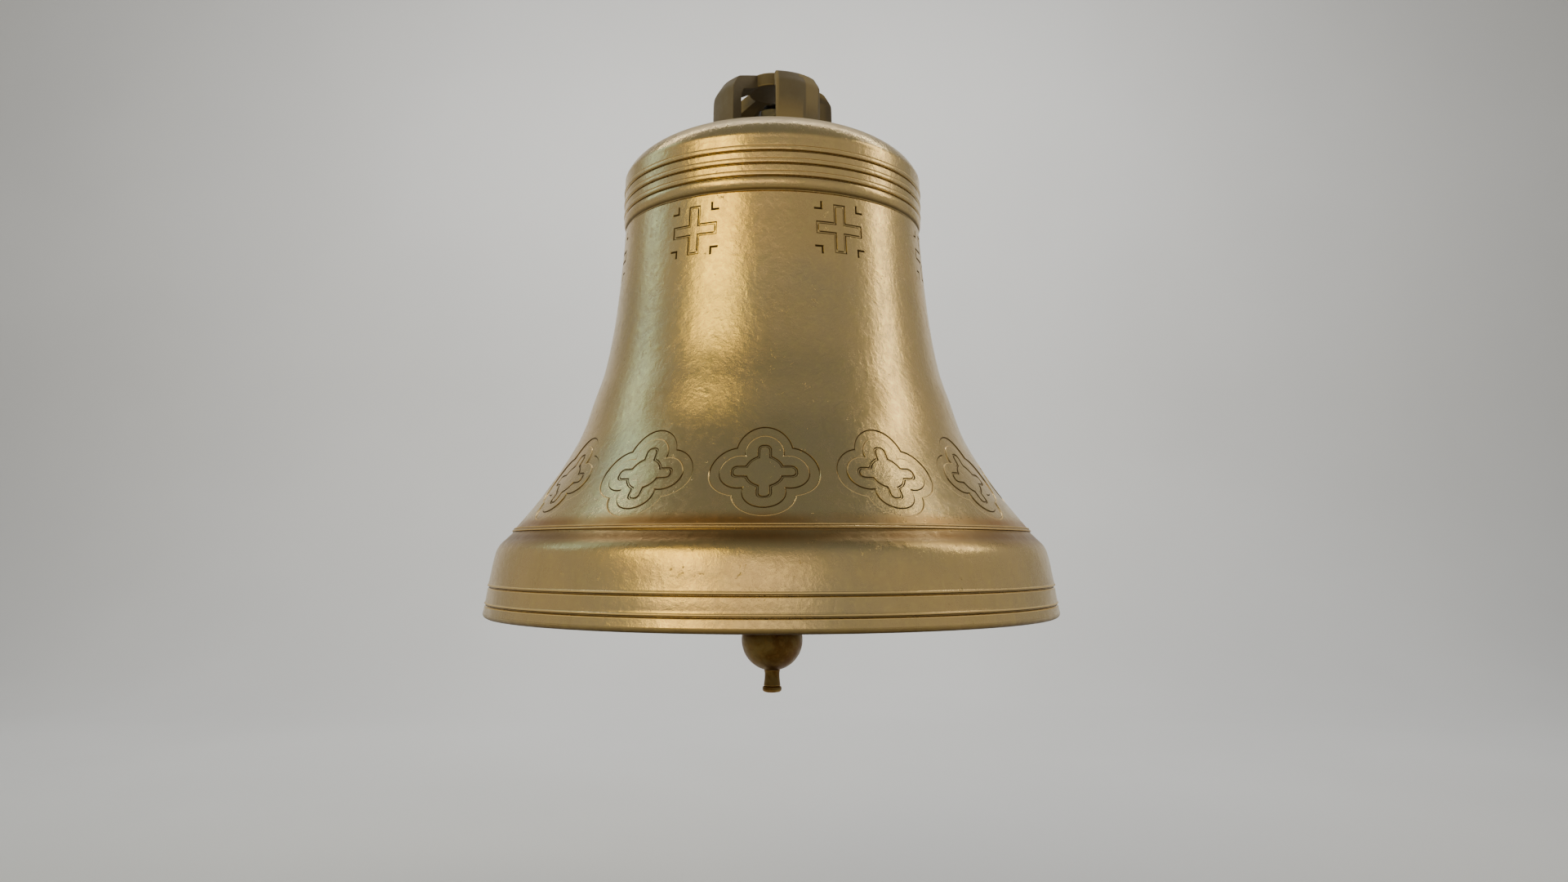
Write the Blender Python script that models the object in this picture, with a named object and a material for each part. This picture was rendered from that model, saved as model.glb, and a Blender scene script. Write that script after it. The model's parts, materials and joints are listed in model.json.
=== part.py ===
"""A church bell with its crown, crown staple and clapper, as it comes apart on a bench.

Every height in this file is measured up from the lip plane. The empty bell_frame holds
the lip plane HEIGHT below the flat top of the crown, so the part's origin is the face
that bears against a headstock, and the bell hangs below it. The clapper's pieces are
placed from the pin's axis, on the empty clapper_pivot.
"""
import math

import bmesh
import bpy
from mathutils import Matrix

# Driving dimensions, in metres.
HEIGHT = 0.890              # lip plane to the flat top of the crown
MOUTH_RADIUS = 0.450        # widest radius, just above the lip
GAP = 0.0003                # between pieces that touch
BELL_SEGMENTS = 48
ROUND_SEGMENTS = 24

# Head and crown.
HEAD_TOP = 0.778            # flat around the staple hole
HEAD_UNDER = 0.738          # flat underside of the head
HEAD_FLAT_RADIUS = 0.056
HEAD_HOLE_RADIUS = 0.0160
CANON_OUTER = 0.100
CANON_INNER = 0.080
CANON_HALF_ANGLE = math.radians(23.5)
HUB_RADIUS = 0.040
HUB_UNDER = 0.8690

# Crown staple and its fastenings.
SHANK_RADIUS = 0.015
SHANK_TOP = 0.848
FLANGE_RADIUS = 0.048
FLANGE_THICKNESS = 0.014
PAD_THICKNESS = 0.005
PLATE_THICKNESS = 0.012
NUT_FLATS = 0.046
NUT_HEIGHT = 0.024
LOCK_NUT_HEIGHT = 0.015
SHANK_PIN_HEIGHT = 0.8405

# Clapper pivot, along Y.
PIVOT_HEIGHT = 0.600
PIN_RADIUS = 0.012
BUSH_RADIUS = 0.016
EYE_RADIUS = 0.032
EYE_HALF = 0.019            # half the eye's width along the pin
THRUST_THICKNESS = 0.003
CHEEK_THICKNESS = 0.016
CHEEK_RADIUS = 0.028
PIN_HEAD_THICKNESS = 0.009
PIN_NUT_FLATS = 0.036
PIN_NUT_HEIGHT = 0.020
PIN_WASHER_THICKNESS = 0.003

# Clapper, heights measured from the pin's axis.
BALL_DROP = 0.642
BALL_RADIUS = 0.04925
SHAFT_RADIUS = 0.016
SPIGOT_RADIUS = 0.008
COLLAR_TOP_DROP = 0.7155
TIP_DROP = 0.725

# Split pins are folded from half-round wire; one round wire stands for the pair.
WIRE_RADIUS = 0.0011


def clear_scene():
    for old in list(bpy.data.objects):
        bpy.data.objects.remove(old, do_unlink=True)


def material(name, colour, roughness, metallic):
    made = bpy.data.materials.new(name)
    made.use_nodes = True
    shader = made.node_tree.nodes["Principled BSDF"]
    shader.inputs["Base Color"].default_value = (*colour, 1.0)
    shader.inputs["Roughness"].default_value = roughness
    shader.inputs["Metallic"].default_value = metallic
    return made


def empty(name, height, parent=None):
    made = bpy.data.objects.new(name, None)
    made.location = (0, 0, height)
    made.parent = parent
    bpy.context.collection.objects.link(made)
    return made


def finish(name, bm, look, parent, sharp_angle=35):
    """Closes a bmesh into a named object with its faces pointing out."""
    bmesh.ops.remove_doubles(bm, verts=bm.verts, dist=1e-6)
    bmesh.ops.recalc_face_normals(bm, faces=bm.faces)
    mesh = bpy.data.meshes.new(name)
    bm.to_mesh(mesh)
    bm.free()
    mesh.shade_smooth()
    mesh.set_sharp_from_angle(angle=math.radians(sharp_angle))
    made = bpy.data.objects.new(name, mesh)
    if look:
        mesh.materials.append(look)
    made.parent = parent
    bpy.context.collection.objects.link(made)
    return made


def cutter(name, bm, parent):
    """A solid that only cuts or joins: the build leaves it out."""
    made = finish(name, bm, None, parent)
    made.hide_render = True
    made.display_type = "WIRE"
    return made


def boolean(target, tool, operation):
    step = target.modifiers.new(tool.name, "BOOLEAN")
    step.object = tool
    step.operation = operation
    step.solver = "EXACT"


# Outlines, as (radius, height) points.

def smooth(points, steps):
    """A Catmull-Rom curve through the points, steps pieces between each two."""
    ends = [(2 * points[0][0] - points[1][0], 2 * points[0][1] - points[1][1]),
            (2 * points[-1][0] - points[-2][0], 2 * points[-1][1] - points[-2][1])]
    full = [ends[0], *points, ends[1]]
    curve = []
    for before, start, end, after in zip(full, full[1:], full[2:], full[3:]):
        for step in range(steps):
            t = step / steps
            curve.append(tuple(
                0.5 * (2 * b + (c - a) * t + (2 * a - 5 * b + 4 * c - d) * t * t
                       + (3 * b - a - 3 * c + d) * t ** 3)
                for a, b, c, d in zip(before, start, end, after)))
    curve.append(points[-1])
    return curve


def arc(radius, height, size, start, end, steps):
    """Points on a circle of the given size around (radius, height), angles in degrees."""
    turns = [math.radians(start + (end - start) * k / steps) for k in range(steps + 1)]
    return [(radius + size * math.cos(a), height + size * math.sin(a)) for a in turns]


def raised_ring(radius, low, tall, proud):
    """A flat fillet that stands proud of a wall, from its top edge down."""
    chamfer = proud / 3
    return [(radius, low + tall), (radius + proud, low + tall - chamfer),
            (radius + proud, low + chamfer), (radius, low)]


# Solids.

def turned(outline, segments, edge=None):
    """Revolves a closed outline about Z. Points on the axis become single vertices.

    edge, when given, maps an angle and a point of the outline to that point's radius
    and height there, for hexagons, squares and castellated nuts.
    """
    bm = bmesh.new()
    rings = []
    for number, (radius, height) in enumerate(outline):
        if radius < 1e-9:
            rings.append([bm.verts.new((0, 0, height))] * segments)
            continue
        ring = []
        for k in range(segments):
            angle = 2 * math.pi * k / segments
            r, z = edge(angle, number, radius, height) if edge else (radius, height)
            ring.append(bm.verts.new((r * math.cos(angle), r * math.sin(angle), z)))
        rings.append(ring)
    for here, there in zip(rings, rings[1:] + rings[:1]):
        for k in range(segments):
            j = (k + 1) % segments
            corners = []
            for vertex in (here[k], here[j], there[j], there[k]):
                if vertex not in corners:
                    corners.append(vertex)
            if len(corners) > 2:
                bm.faces.new(corners)
    return bm


def ring_outline(inner, outer, low, high, chamfer=0.0):
    """The outline of a washer, bush or sleeve."""
    if chamfer == 0:
        return [(inner, low), (outer, low), (outer, high), (inner, high)]
    return [(inner, low), (outer - chamfer, low), (outer, low + chamfer),
            (outer, high - chamfer), (outer - chamfer, high), (inner, high)]


def prism(outline, thickness):
    """Extrudes an outline in X and Z along Y, thickness in all, centred on Y = 0."""
    bm = bmesh.new()
    front = bm.faces.new([bm.verts.new((x, -thickness / 2, z)) for x, z in outline])
    made = bmesh.ops.extrude_face_region(bm, geom=[front])
    moved = [item for item in made["geom"] if isinstance(item, bmesh.types.BMVert)]
    bmesh.ops.translate(bm, verts=moved, vec=(0, thickness, 0))
    return bm


def rod(radius, length, segments, along="Z"):
    """A plain cylinder centred on the origin."""
    bm = bmesh.new()
    bmesh.ops.create_cone(bm, cap_ends=True, segments=segments, radius1=radius,
                          radius2=radius, depth=length)
    axis = {"X": Matrix.Rotation(math.pi / 2, 4, "Y"), "Y": Matrix.Rotation(math.pi / 2, 4, "X"),
            "Z": Matrix.Identity(4)}[along]
    bmesh.ops.transform(bm, matrix=axis, verts=bm.verts)
    return bm


def moved(bm, x=0.0, y=0.0, z=0.0):
    bmesh.ops.translate(bm, verts=bm.verts, vec=(x, y, z))
    return bm


def lay_along_y(bm):
    """Turns a solid made about Z so that its axis is Y, its top towards +Y."""
    bmesh.ops.transform(bm, matrix=Matrix.Rotation(-math.pi / 2, 4, "X"), verts=bm.verts)
    return bm


def sector(outline, middle, half_angle, steps):
    """Turns a closed outline through part of a circle and caps both ends."""
    bm = bmesh.new()
    rings = []
    for k in range(steps + 1):
        angle = middle - half_angle + 2 * half_angle * k / steps
        rings.append([bm.verts.new((r * math.cos(angle), r * math.sin(angle), z))
                      for r, z in outline])
    count = len(outline)
    for here, there in zip(rings, rings[1:]):
        for k in range(count):
            j = (k + 1) % count
            bm.faces.new((here[k], here[j], there[j], there[k]))
    bm.faces.new(rings[0])
    bm.faces.new(rings[-1])
    return bm


def hexagon(flats, chamfer_rings):
    """A hexagonal edge: the numbered outer points follow the flats, the chamfer_rings
    ones lie on the chamfer circle just inside them."""
    apothem = flats / 2

    def edge(angle, number, radius, height):
        if radius < apothem * 0.8:
            return radius, height
        if number in chamfer_rings:
            return apothem * 0.97, height
        return apothem / math.cos((angle % (math.pi / 3)) - math.pi / 6), height
    return edge


def nut(inner, flats, low, high, segments=24):
    """A hexagon nut with chamfered corners."""
    outer = flats / 2
    drop = 0.0024
    outline = [(inner, low), (outer, low), (outer, low + drop), (outer, high - drop),
               (outer, high), (inner, high)]
    return turned(outline, segments, hexagon(flats, (1, 4)))


def wire(name, points, look, parent, radius=WIRE_RADIUS):
    """A round wire through the points, as a curve with a bevel and filled caps."""
    curve = bpy.data.curves.new(name, "CURVE")
    curve.dimensions = "3D"
    curve.bevel_depth = radius
    curve.bevel_resolution = 2
    curve.use_fill_caps = True
    spline = curve.splines.new("POLY")
    spline.points.add(len(points) - 1)
    for point, place in zip(spline.points, points):
        point.co = (*place, 1.0)
    curve.materials.append(look)
    made = bpy.data.objects.new(name, curve)
    made.parent = parent
    bpy.context.collection.objects.link(made)
    return made


def split_pin_path(half_length, eye, spread, leg_gap):
    """A split pin along X: the eye at -X, two legs side by side, their ends bent apart.

    Returned as (x, side) points, side being across the pin in the plane of the eye.
    """
    legs = leg_gap / 2
    turn = [math.radians(a) for a in range(-150, 151, 30)]
    loop = [(-half_length - eye - eye * math.cos(a), eye * math.sin(a)) for a in turn]
    neck = [(-half_length, -legs)]
    bent = [(half_length + 0.0015, -legs - 0.0010), (half_length + 0.0015 + spread * 0.35,
                                                      -legs - spread)]
    lower = [(half_length, -legs)] + bent
    path = lower[::-1] + neck + loop + [(x, -side) for x, side in neck + lower]
    return path


# The bell.

def bell_outline():
    side = 0.2446           # shoulder wall
    head = [(HEAD_HOLE_RADIUS, HEAD_TOP), (HEAD_FLAT_RADIUS, HEAD_TOP)]
    head += smooth([(0.064, 0.7765), (0.110, 0.7725), (0.160, 0.7620), (0.2016, 0.7460),
                    (0.2290, 0.7270), (0.2430, 0.7080), (side, 0.6960)], 1)
    rings = []
    for low in (0.6785, 0.6595, 0.6405):
        rings += raised_ring(side, low, 0.0065, 0.0012)
    bead = [(side + 0.0008, 0.6380), (side + 0.0006, 0.6300), (side - 0.0010, 0.6240),
            (0.2410, 0.6200), (0.2408, 0.6190)]
    waist = smooth([(0.2428, 0.6170), (0.2448, 0.5850), (0.2506, 0.5220), (0.2590, 0.4530),
                    (0.2720, 0.3850), (0.2880, 0.3360), (0.3070, 0.2800), (0.3350, 0.2290),
                    (0.3680, 0.1800), (0.4035, 0.1355)], 1)
    band = [(0.4058, 0.1345), (0.4085, 0.1305), (0.4080, 0.1290)]
    bow = smooth([(0.4085, 0.1275), (0.4180, 0.1180), (0.4262, 0.1100), (0.4320, 0.1000),
                  (0.4365, 0.0830), (0.4400, 0.0640)], 1)
    edge = raised_ring(0.4424, 0.0470, 0.0035, 0.0012)
    edge += raised_ring(0.4468, 0.0208, 0.0030, 0.0012)
    edge += [(0.4490, 0.0110)] + arc(MOUTH_RADIUS - 0.0070, 0.0070, 0.0070, 0, -90, 4)
    inside = [(0.4280, 0.0), (0.4190, 0.0050), (0.4040, 0.0250)]
    inside += smooth([(0.3860, 0.0520), (0.3690, 0.0850), (0.3570, 0.1180), (0.3420, 0.1520),
                      (0.3120, 0.2050), (0.2820, 0.2700), (0.2580, 0.3500), (0.2400, 0.4400),
                      (0.2270, 0.5600), (0.2190, 0.6600)], 1)
    inside += smooth([(0.2120, 0.6950), (0.1980, 0.7180), (0.1720, 0.7300), (0.1200, 0.7365)], 1)
    inside += [(0.0640, HEAD_UNDER), (HEAD_HOLE_RADIUS, HEAD_UNDER)]
    return head + rings + bead + waist + band + bow + edge + inside


def head_height(radius):
    """The height of the head's upper surface under the crown."""
    outline = bell_outline()
    for (r0, z0), (r1, z1) in zip(outline, outline[1:]):
        if r0 <= radius <= r1:
            return z0 + (z1 - z0) * (radius - r0) / (r1 - r0)
    return HEAD_TOP


def make_bell(parent, bronze):
    finish("bell_body", turned(bell_outline(), BELL_SEGMENTS), bronze, parent, 50)


def make_crown(parent, bronze):
    """Four bent straps stand on the head and lean in to the hub, at 45 degrees to X and Y."""
    join = HUB_RADIUS + GAP
    canon = [(CANON_OUTER + 0.0015, head_height(CANON_OUTER) + GAP + 0.0006),
             (CANON_OUTER, 0.8510), (0.0860, 0.8730), (join, 0.8895),
             (join, HUB_UNDER + 0.0005), (0.0740, 0.8540), (CANON_INNER, 0.8410),
             (CANON_INNER - 0.0010, head_height(CANON_INNER) + GAP + 0.0006)]
    places = {"crown_canon_1": -45, "crown_canon_2": 45, "crown_canon_3": 135,
              "crown_canon_4": 225}
    for name, turn in places.items():
        solid = sector(canon, math.radians(turn), CANON_HALF_ANGLE, 6)
        finish(name, solid, bronze, parent, 30)
    hub = [(0, HUB_UNDER), (HUB_RADIUS - 0.002, HUB_UNDER), (HUB_RADIUS, HUB_UNDER + 0.002),
           (HUB_RADIUS, HEIGHT - 0.0015), (HUB_RADIUS - 0.0015, HEIGHT), (0, HEIGHT)]
    finish("crown_hub", turned(hub, ROUND_SEGMENTS), bronze, parent, 30)


# The crown staple, which carries the clapper, and what fastens it through the head.

def make_staple(parent, steel):
    flange_top = HEAD_UNDER - GAP - PAD_THICKNESS - GAP
    flange_low = flange_top - FLANGE_THICKNESS
    shank = [(0, flange_low - 0.010), (0.034, flange_low - 0.010), (0.038, flange_low),
             (FLANGE_RADIUS - 0.002, flange_low), (FLANGE_RADIUS, flange_low + 0.002),
             (FLANGE_RADIUS, flange_top), (SHANK_RADIUS, flange_top),
             (SHANK_RADIUS, SHANK_TOP - 0.002), (SHANK_RADIUS - 0.002, SHANK_TOP), (0, SHANK_TOP)]
    staple = finish("crown_staple", turned(shank, ROUND_SEGMENTS), steel, parent, 30)

    half_slot = EYE_HALF + GAP + THRUST_THICKNESS + GAP
    width = 2 * (half_slot + CHEEK_THICKNESS)
    fork = arc(0, PIVOT_HEIGHT, CHEEK_RADIUS, 180, 360, 12)
    fork += [(CHEEK_RADIUS, PIVOT_HEIGHT + 0.050), (0.036, flange_low + 0.002),
             (-0.036, flange_low + 0.002), (-CHEEK_RADIUS, PIVOT_HEIGHT + 0.050)]
    boolean(staple, cutter("fork_block", prism(fork, width), parent), "UNION")

    slot_top = PIVOT_HEIGHT + EYE_RADIUS + 0.008
    slot_low = PIVOT_HEIGHT - CHEEK_RADIUS - 0.010
    slot = [(-0.060, slot_low), (0.060, slot_low), (0.060, slot_top), (-0.060, slot_top)]
    boolean(staple, cutter("fork_slot", prism(slot, 2 * half_slot), parent), "DIFFERENCE")

    bore = moved(rod(PIN_RADIUS + GAP, width + 0.020, ROUND_SEGMENTS, "Y"), z=PIVOT_HEIGHT)
    boolean(staple, cutter("fork_bore", bore, parent), "DIFFERENCE")
    hole = moved(rod(0.0030, 0.060, 12, "X"), z=SHANK_PIN_HEIGHT)
    boolean(staple, cutter("shank_pin_hole", hole, parent), "DIFFERENCE")


def square_edge(half_side, corner):
    """A square plate whose corners are cut back to a circle."""
    def edge(angle, number, radius, height):
        if radius < half_side * 0.8:
            return radius, height
        reach = half_side / max(abs(math.cos(angle)), abs(math.sin(angle)))
        return min(reach, corner) - (half_side - radius), height
    return edge


def make_staple_fastenings(parent, steel, leather):
    inner = SHANK_RADIUS + GAP
    pad_low = HEAD_UNDER - GAP - PAD_THICKNESS
    inner_pad = ring_outline(inner, 0.050, pad_low, pad_low + PAD_THICKNESS)
    finish("staple_inner_pad", turned(inner_pad, ROUND_SEGMENTS), leather, parent)

    low = HEAD_TOP + GAP
    top_pad = ring_outline(inner, 0.046, low, low + PAD_THICKNESS)
    finish("staple_top_pad", turned(top_pad, ROUND_SEGMENTS), leather, parent)

    low += PAD_THICKNESS + GAP
    plate = ring_outline(inner, 0.040, low, low + PLATE_THICKNESS, 0.0015)
    finish("staple_top_plate", turned(plate, ROUND_SEGMENTS, square_edge(0.040, 0.050)),
           steel, parent, 20)

    low += PLATE_THICKNESS + GAP
    finish("staple_nut", nut(inner, NUT_FLATS, low, low + NUT_HEIGHT), steel, parent, 20)
    low += NUT_HEIGHT + GAP
    finish("staple_lock_nut", nut(inner, NUT_FLATS, low, low + LOCK_NUT_HEIGHT),
           steel, parent, 20)

    path = split_pin_path(SHANK_RADIUS + 0.0006, 0.0040, 0.0060, 0.0026)
    wire("staple_split_pin", [(x, side, SHANK_PIN_HEIGHT) for x, side in path], steel, parent)


# The pin, which the clapper swings on, and its fastenings.

def castle_edge(flats, top_rings, slot_depth):
    """Six slots across the corners' middles in the top of a hexagon nut."""
    plain = hexagon(flats, ())

    def edge(angle, number, radius, height):
        r, z = plain(angle, number, radius, height)
        in_slot = abs((angle % (math.pi / 3)) - math.pi / 6) < math.radians(13)
        if number in top_rings and in_slot:
            z -= slot_depth
        return r, z
    return edge


def make_pin(parent, steel):
    inner = PIN_RADIUS + GAP
    thrust_start = EYE_HALF + GAP
    cheek_end = thrust_start + THRUST_THICKNESS + GAP + CHEEK_THICKNESS
    head_start = -cheek_end - GAP
    washer_start = cheek_end + GAP
    nut_start = washer_start + PIN_WASHER_THICKNESS + GAP
    pin_hole = nut_start + PIN_NUT_HEIGHT - 0.0035
    pin_end = nut_start + PIN_NUT_HEIGHT + 0.004

    shank = [(0, head_start - PIN_HEAD_THICKNESS), (0.0170, head_start - PIN_HEAD_THICKNESS),
             (0.0190, head_start - PIN_HEAD_THICKNESS + 0.002), (0.0190, head_start),
             (PIN_RADIUS, head_start), (PIN_RADIUS, pin_end - 0.002),
             (PIN_RADIUS - 0.002, pin_end), (0, pin_end)]
    pin = finish("clapper_pin", moved(lay_along_y(turned(shank, ROUND_SEGMENTS)),
                                      z=PIVOT_HEIGHT), steel, parent, 30)
    hole = moved(rod(0.0030, 0.060, 12, "X"), y=pin_hole, z=PIVOT_HEIGHT)
    boolean(pin, cutter("clapper_pin_hole", hole, parent), "DIFFERENCE")

    for name, start in (("thrust_washer_back", thrust_start),
                        ("thrust_washer_front", -thrust_start - THRUST_THICKNESS)):
        outline = ring_outline(inner, 0.0240, start, start + THRUST_THICKNESS)
        solid = moved(lay_along_y(turned(outline, ROUND_SEGMENTS)), z=PIVOT_HEIGHT)
        finish(name, solid, steel, parent)

    washer = ring_outline(inner, 0.0220, washer_start, washer_start + PIN_WASHER_THICKNESS)
    finish("pin_washer", moved(lay_along_y(turned(washer, ROUND_SEGMENTS)), z=PIVOT_HEIGHT),
           steel, parent)

    outer = PIN_NUT_FLATS / 2
    castle = [(inner, nut_start), (outer, nut_start), (outer, nut_start + PIN_NUT_HEIGHT),
              (inner, nut_start + PIN_NUT_HEIGHT)]
    solid = turned(castle, 72, castle_edge(PIN_NUT_FLATS, (2, 3), 0.0065))
    bmesh.ops.rotate(solid, verts=solid.verts, matrix=Matrix.Rotation(math.pi / 6, 3, "Z"))
    finish("pin_castle_nut", moved(lay_along_y(solid), z=PIVOT_HEIGHT), steel, parent, 20)

    path = split_pin_path(PIN_NUT_FLATS / 2 + 0.0040, 0.0040, 0.0060, 0.0026)
    wire("pin_split_pin", [(x, pin_hole, PIVOT_HEIGHT + side) for x, side in path],
         steel, parent)


# The clapper, with heights measured down from the pin's axis.

def make_clapper(pivot, steel, bush_bronze, clapper_bronze):
    bush = ring_outline(PIN_RADIUS + GAP, BUSH_RADIUS, -EYE_HALF, EYE_HALF)
    finish("clapper_bush", lay_along_y(turned(bush, ROUND_SEGMENTS)), bush_bronze, pivot)

    neck_top = -BALL_DROP + BALL_RADIUS + 0.024
    spigot_end = -COLLAR_TOP_DROP - 0.004
    shaft = [(0, spigot_end), (SPIGOT_RADIUS, spigot_end), (SPIGOT_RADIUS, neck_top - 0.020),
             (0.0120, neck_top - 0.020), (0.0120, neck_top + 0.001),
             (0.0185, neck_top + 0.006), (0.0185, neck_top + 0.014),
             (SHAFT_RADIUS, neck_top + 0.020),
             (SHAFT_RADIUS - 0.001, -0.300), (SHAFT_RADIUS, -0.070), (0.0200, -0.045),
             (0.0200, -0.024), (0, -0.024)]
    body = finish("clapper_shaft", turned(shaft, ROUND_SEGMENTS), steel, pivot, 30)
    eye = cutter("eye_block", rod(EYE_RADIUS, 2 * EYE_HALF, ROUND_SEGMENTS, "Y"), pivot)
    boolean(body, eye, "UNION")
    bore = cutter("eye_bore", rod(BUSH_RADIUS + GAP, 0.060, ROUND_SEGMENTS, "Y"), pivot)
    boolean(body, bore, "DIFFERENCE")
    lock_height = neck_top - 0.010
    lock = cutter("shaft_lock_hole", moved(rod(0.0040, 0.060, 12, "Y"), z=lock_height), pivot)
    boolean(body, lock, "DIFFERENCE")

    ball_centre = -BALL_DROP
    neck_radius = 0.0200
    lift = math.degrees(math.acos(neck_radius / BALL_RADIUS))
    base = math.degrees(math.acos((SPIGOT_RADIUS + 0.005) / BALL_RADIUS))
    ball = arc(0, ball_centre, BALL_RADIUS, -base, lift, 12)
    ball += [(neck_radius, neck_top - 0.0015), (neck_radius - 0.0015, neck_top),
             (0.0120 + GAP, neck_top), (0.0120 + GAP, neck_top - 0.020 - GAP),
             (SPIGOT_RADIUS + GAP, neck_top - 0.020 - GAP), (SPIGOT_RADIUS + GAP, ball[0][1])]
    ball_body = finish("clapper_ball", turned(ball, ROUND_SEGMENTS), clapper_bronze, pivot, 40)
    lock = cutter("ball_lock_hole", moved(rod(0.0040, 0.060, 12, "Y"), z=lock_height), pivot)
    boolean(ball_body, lock, "DIFFERENCE")
    finish("ball_lock_pin", moved(rod(0.0040 - GAP, 0.0430, 12, "Y"), z=lock_height),
           steel, pivot)

    flight_top = ball[0][1] - GAP
    inner = SPIGOT_RADIUS + GAP
    flight = [(inner, flight_top), (0.0128, flight_top), (0.0122, flight_top - 0.004),
              (0.0134, -COLLAR_TOP_DROP + 0.0015), (0.0126, -COLLAR_TOP_DROP + GAP),
              (inner, -COLLAR_TOP_DROP + GAP)]
    finish("clapper_flight", turned(flight, ROUND_SEGMENTS), clapper_bronze, pivot, 30)

    top = -COLLAR_TOP_DROP
    floor = spigot_end - 0.0010
    collar = [(0, floor), (inner, floor), (inner, top), (0.0138, top), (0.01535, top - 0.0015),
              (0.01535, -TIP_DROP + 0.004), (0.0135, -TIP_DROP + 0.0012),
              (0.0090, -TIP_DROP), (0, -TIP_DROP)]
    finish("clapper_end_collar", turned(collar, ROUND_SEGMENTS), clapper_bronze, pivot, 30)


def main():
    clear_scene()
    bronze = material("bell_bronze", (0.50, 0.38, 0.20), 0.42, 1.0)
    clapper_bronze = material("clapper_bronze", (0.36, 0.23, 0.10), 0.50, 1.0)
    bush_bronze = material("bush_bronze", (0.55, 0.38, 0.18), 0.35, 1.0)
    steel = material("forged_steel", (0.13, 0.12, 0.11), 0.55, 1.0)
    leather = material("pad_leather", (0.10, 0.06, 0.035), 0.80, 0.0)

    frame = empty("bell_frame", -HEIGHT)
    pivot = empty("clapper_pivot", PIVOT_HEIGHT, frame)
    make_bell(frame, bronze)
    make_crown(frame, bronze)
    make_staple(frame, steel)
    make_staple_fastenings(frame, steel, leather)
    make_pin(frame, steel)
    make_clapper(pivot, steel, bush_bronze, clapper_bronze)


main()
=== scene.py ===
"""Looks of the church bell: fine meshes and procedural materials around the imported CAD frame."""
import json
import math

import bmesh
import bpy
import numpy as np
from mathutils import Matrix, Vector
from mathutils.geometry import delaunay_2d_cdt


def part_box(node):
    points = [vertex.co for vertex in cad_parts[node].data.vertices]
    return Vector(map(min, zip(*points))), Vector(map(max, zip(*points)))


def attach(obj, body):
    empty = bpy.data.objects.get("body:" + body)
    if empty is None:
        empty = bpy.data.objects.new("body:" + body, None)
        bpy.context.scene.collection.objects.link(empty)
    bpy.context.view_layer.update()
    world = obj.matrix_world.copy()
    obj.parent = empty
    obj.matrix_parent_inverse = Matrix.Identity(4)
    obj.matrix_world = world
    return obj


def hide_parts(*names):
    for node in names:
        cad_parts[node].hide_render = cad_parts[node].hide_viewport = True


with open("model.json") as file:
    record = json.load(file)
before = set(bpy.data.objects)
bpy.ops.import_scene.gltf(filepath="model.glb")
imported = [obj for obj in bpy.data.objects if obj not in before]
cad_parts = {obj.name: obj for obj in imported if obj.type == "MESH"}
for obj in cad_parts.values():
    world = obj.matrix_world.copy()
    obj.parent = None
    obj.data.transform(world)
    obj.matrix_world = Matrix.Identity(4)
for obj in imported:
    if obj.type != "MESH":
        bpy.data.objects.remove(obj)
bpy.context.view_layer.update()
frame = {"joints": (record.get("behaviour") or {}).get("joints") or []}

# Places from the frame. Heights on the bell and its crown are measured up from the lip plane.
bell_low, bell_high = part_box("bell_body")
hub_low, hub_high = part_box("crown_hub")
LIP = bell_low.z
MOUTH = bell_high.x
HEAD_TOP = bell_high.z - LIP
HUB_TOP = hub_high.z - LIP
HUB_UNDER = hub_low.z - LIP
HUB_RADIUS = hub_high.x
PIVOT = frame["joints"][0]["pos_m"]

# The photograph was taken this far round from the front, towards +X, looking up at the bell.
CAMERA_TURN = math.radians(18.2)
CAMERA_DISTANCE = 1.7365
CAMERA_HEIGHT = 0.101
CAMERA_PITCH = math.radians(5.85)
CAMERA_YAW = math.radians(0.63)
CAMERA_FIELD = math.radians(45.0)   # top to bottom

# Ornament, counted round the bell. The columns are shared by both bands.
QUATREFOILS = 13
CROSSES = 7
COLUMNS = 182
QUATREFOIL_TURN = CAMERA_TURN + math.radians(-1.7)
CROSS_TURN = CAMERA_TURN + math.radians(23.55)
QUATREFOIL_HEIGHT = 0.203
CROSS_HEIGHT = 0.566
CROSS_BAND = 0.0455                    # half the height of the band that holds the crosses
QUATREFOIL_BAND = 0.0790
RECESS = 0.0011                        # how deep the ornament is cut
WALL = 0.0011                          # how wide its sloping walls are
GUARD = 0.0012                         # how far the painted shade and highlight, and the dirt and wear, reach from a wall
# The outer and the inner edge of each recess, and the width of the narrow ones.
RING = ((0.0738, 0.0404), (0.0586, 0.0262))            # reach, radius of a lobe
FIGURE = ((0.0272, 0.0102, 0.0445, 0.0085), (0.0230, 0.0062, 0.0405, 0.0055))   # as in stubs
FIGURE_CHANNEL = 0.0040
CROSS = ((0.0097, 0.0374), (0.0055, 0.0334))           # half the width of an arm, reach
CROSS_CHANNEL = 0.0042
BRACKET = (0.0272, 0.0130, 0.0032)     # from the cross's centre lines, arm, stroke


# ---------------------------------------------------------------- outlines

def smooth(points, steps):
    """A Catmull-Rom curve through the points, steps pieces between each two."""
    ends = [(2 * points[0][0] - points[1][0], 2 * points[0][1] - points[1][1]),
            (2 * points[-1][0] - points[-2][0], 2 * points[-1][1] - points[-2][1])]
    full = [ends[0], *points, ends[1]]
    curve = []
    for before, start, end, after in zip(full, full[1:], full[2:], full[3:]):
        for step in range(steps):
            t = step / steps
            curve.append(tuple(
                0.5 * (2 * b + (c - a) * t + (2 * a - 5 * b + 4 * c - d) * t * t
                       + (3 * b - a - 3 * c + d) * t ** 3)
                for a, b, c, d in zip(before, start, end, after)))
    curve.append(points[-1])
    return curve


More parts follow.
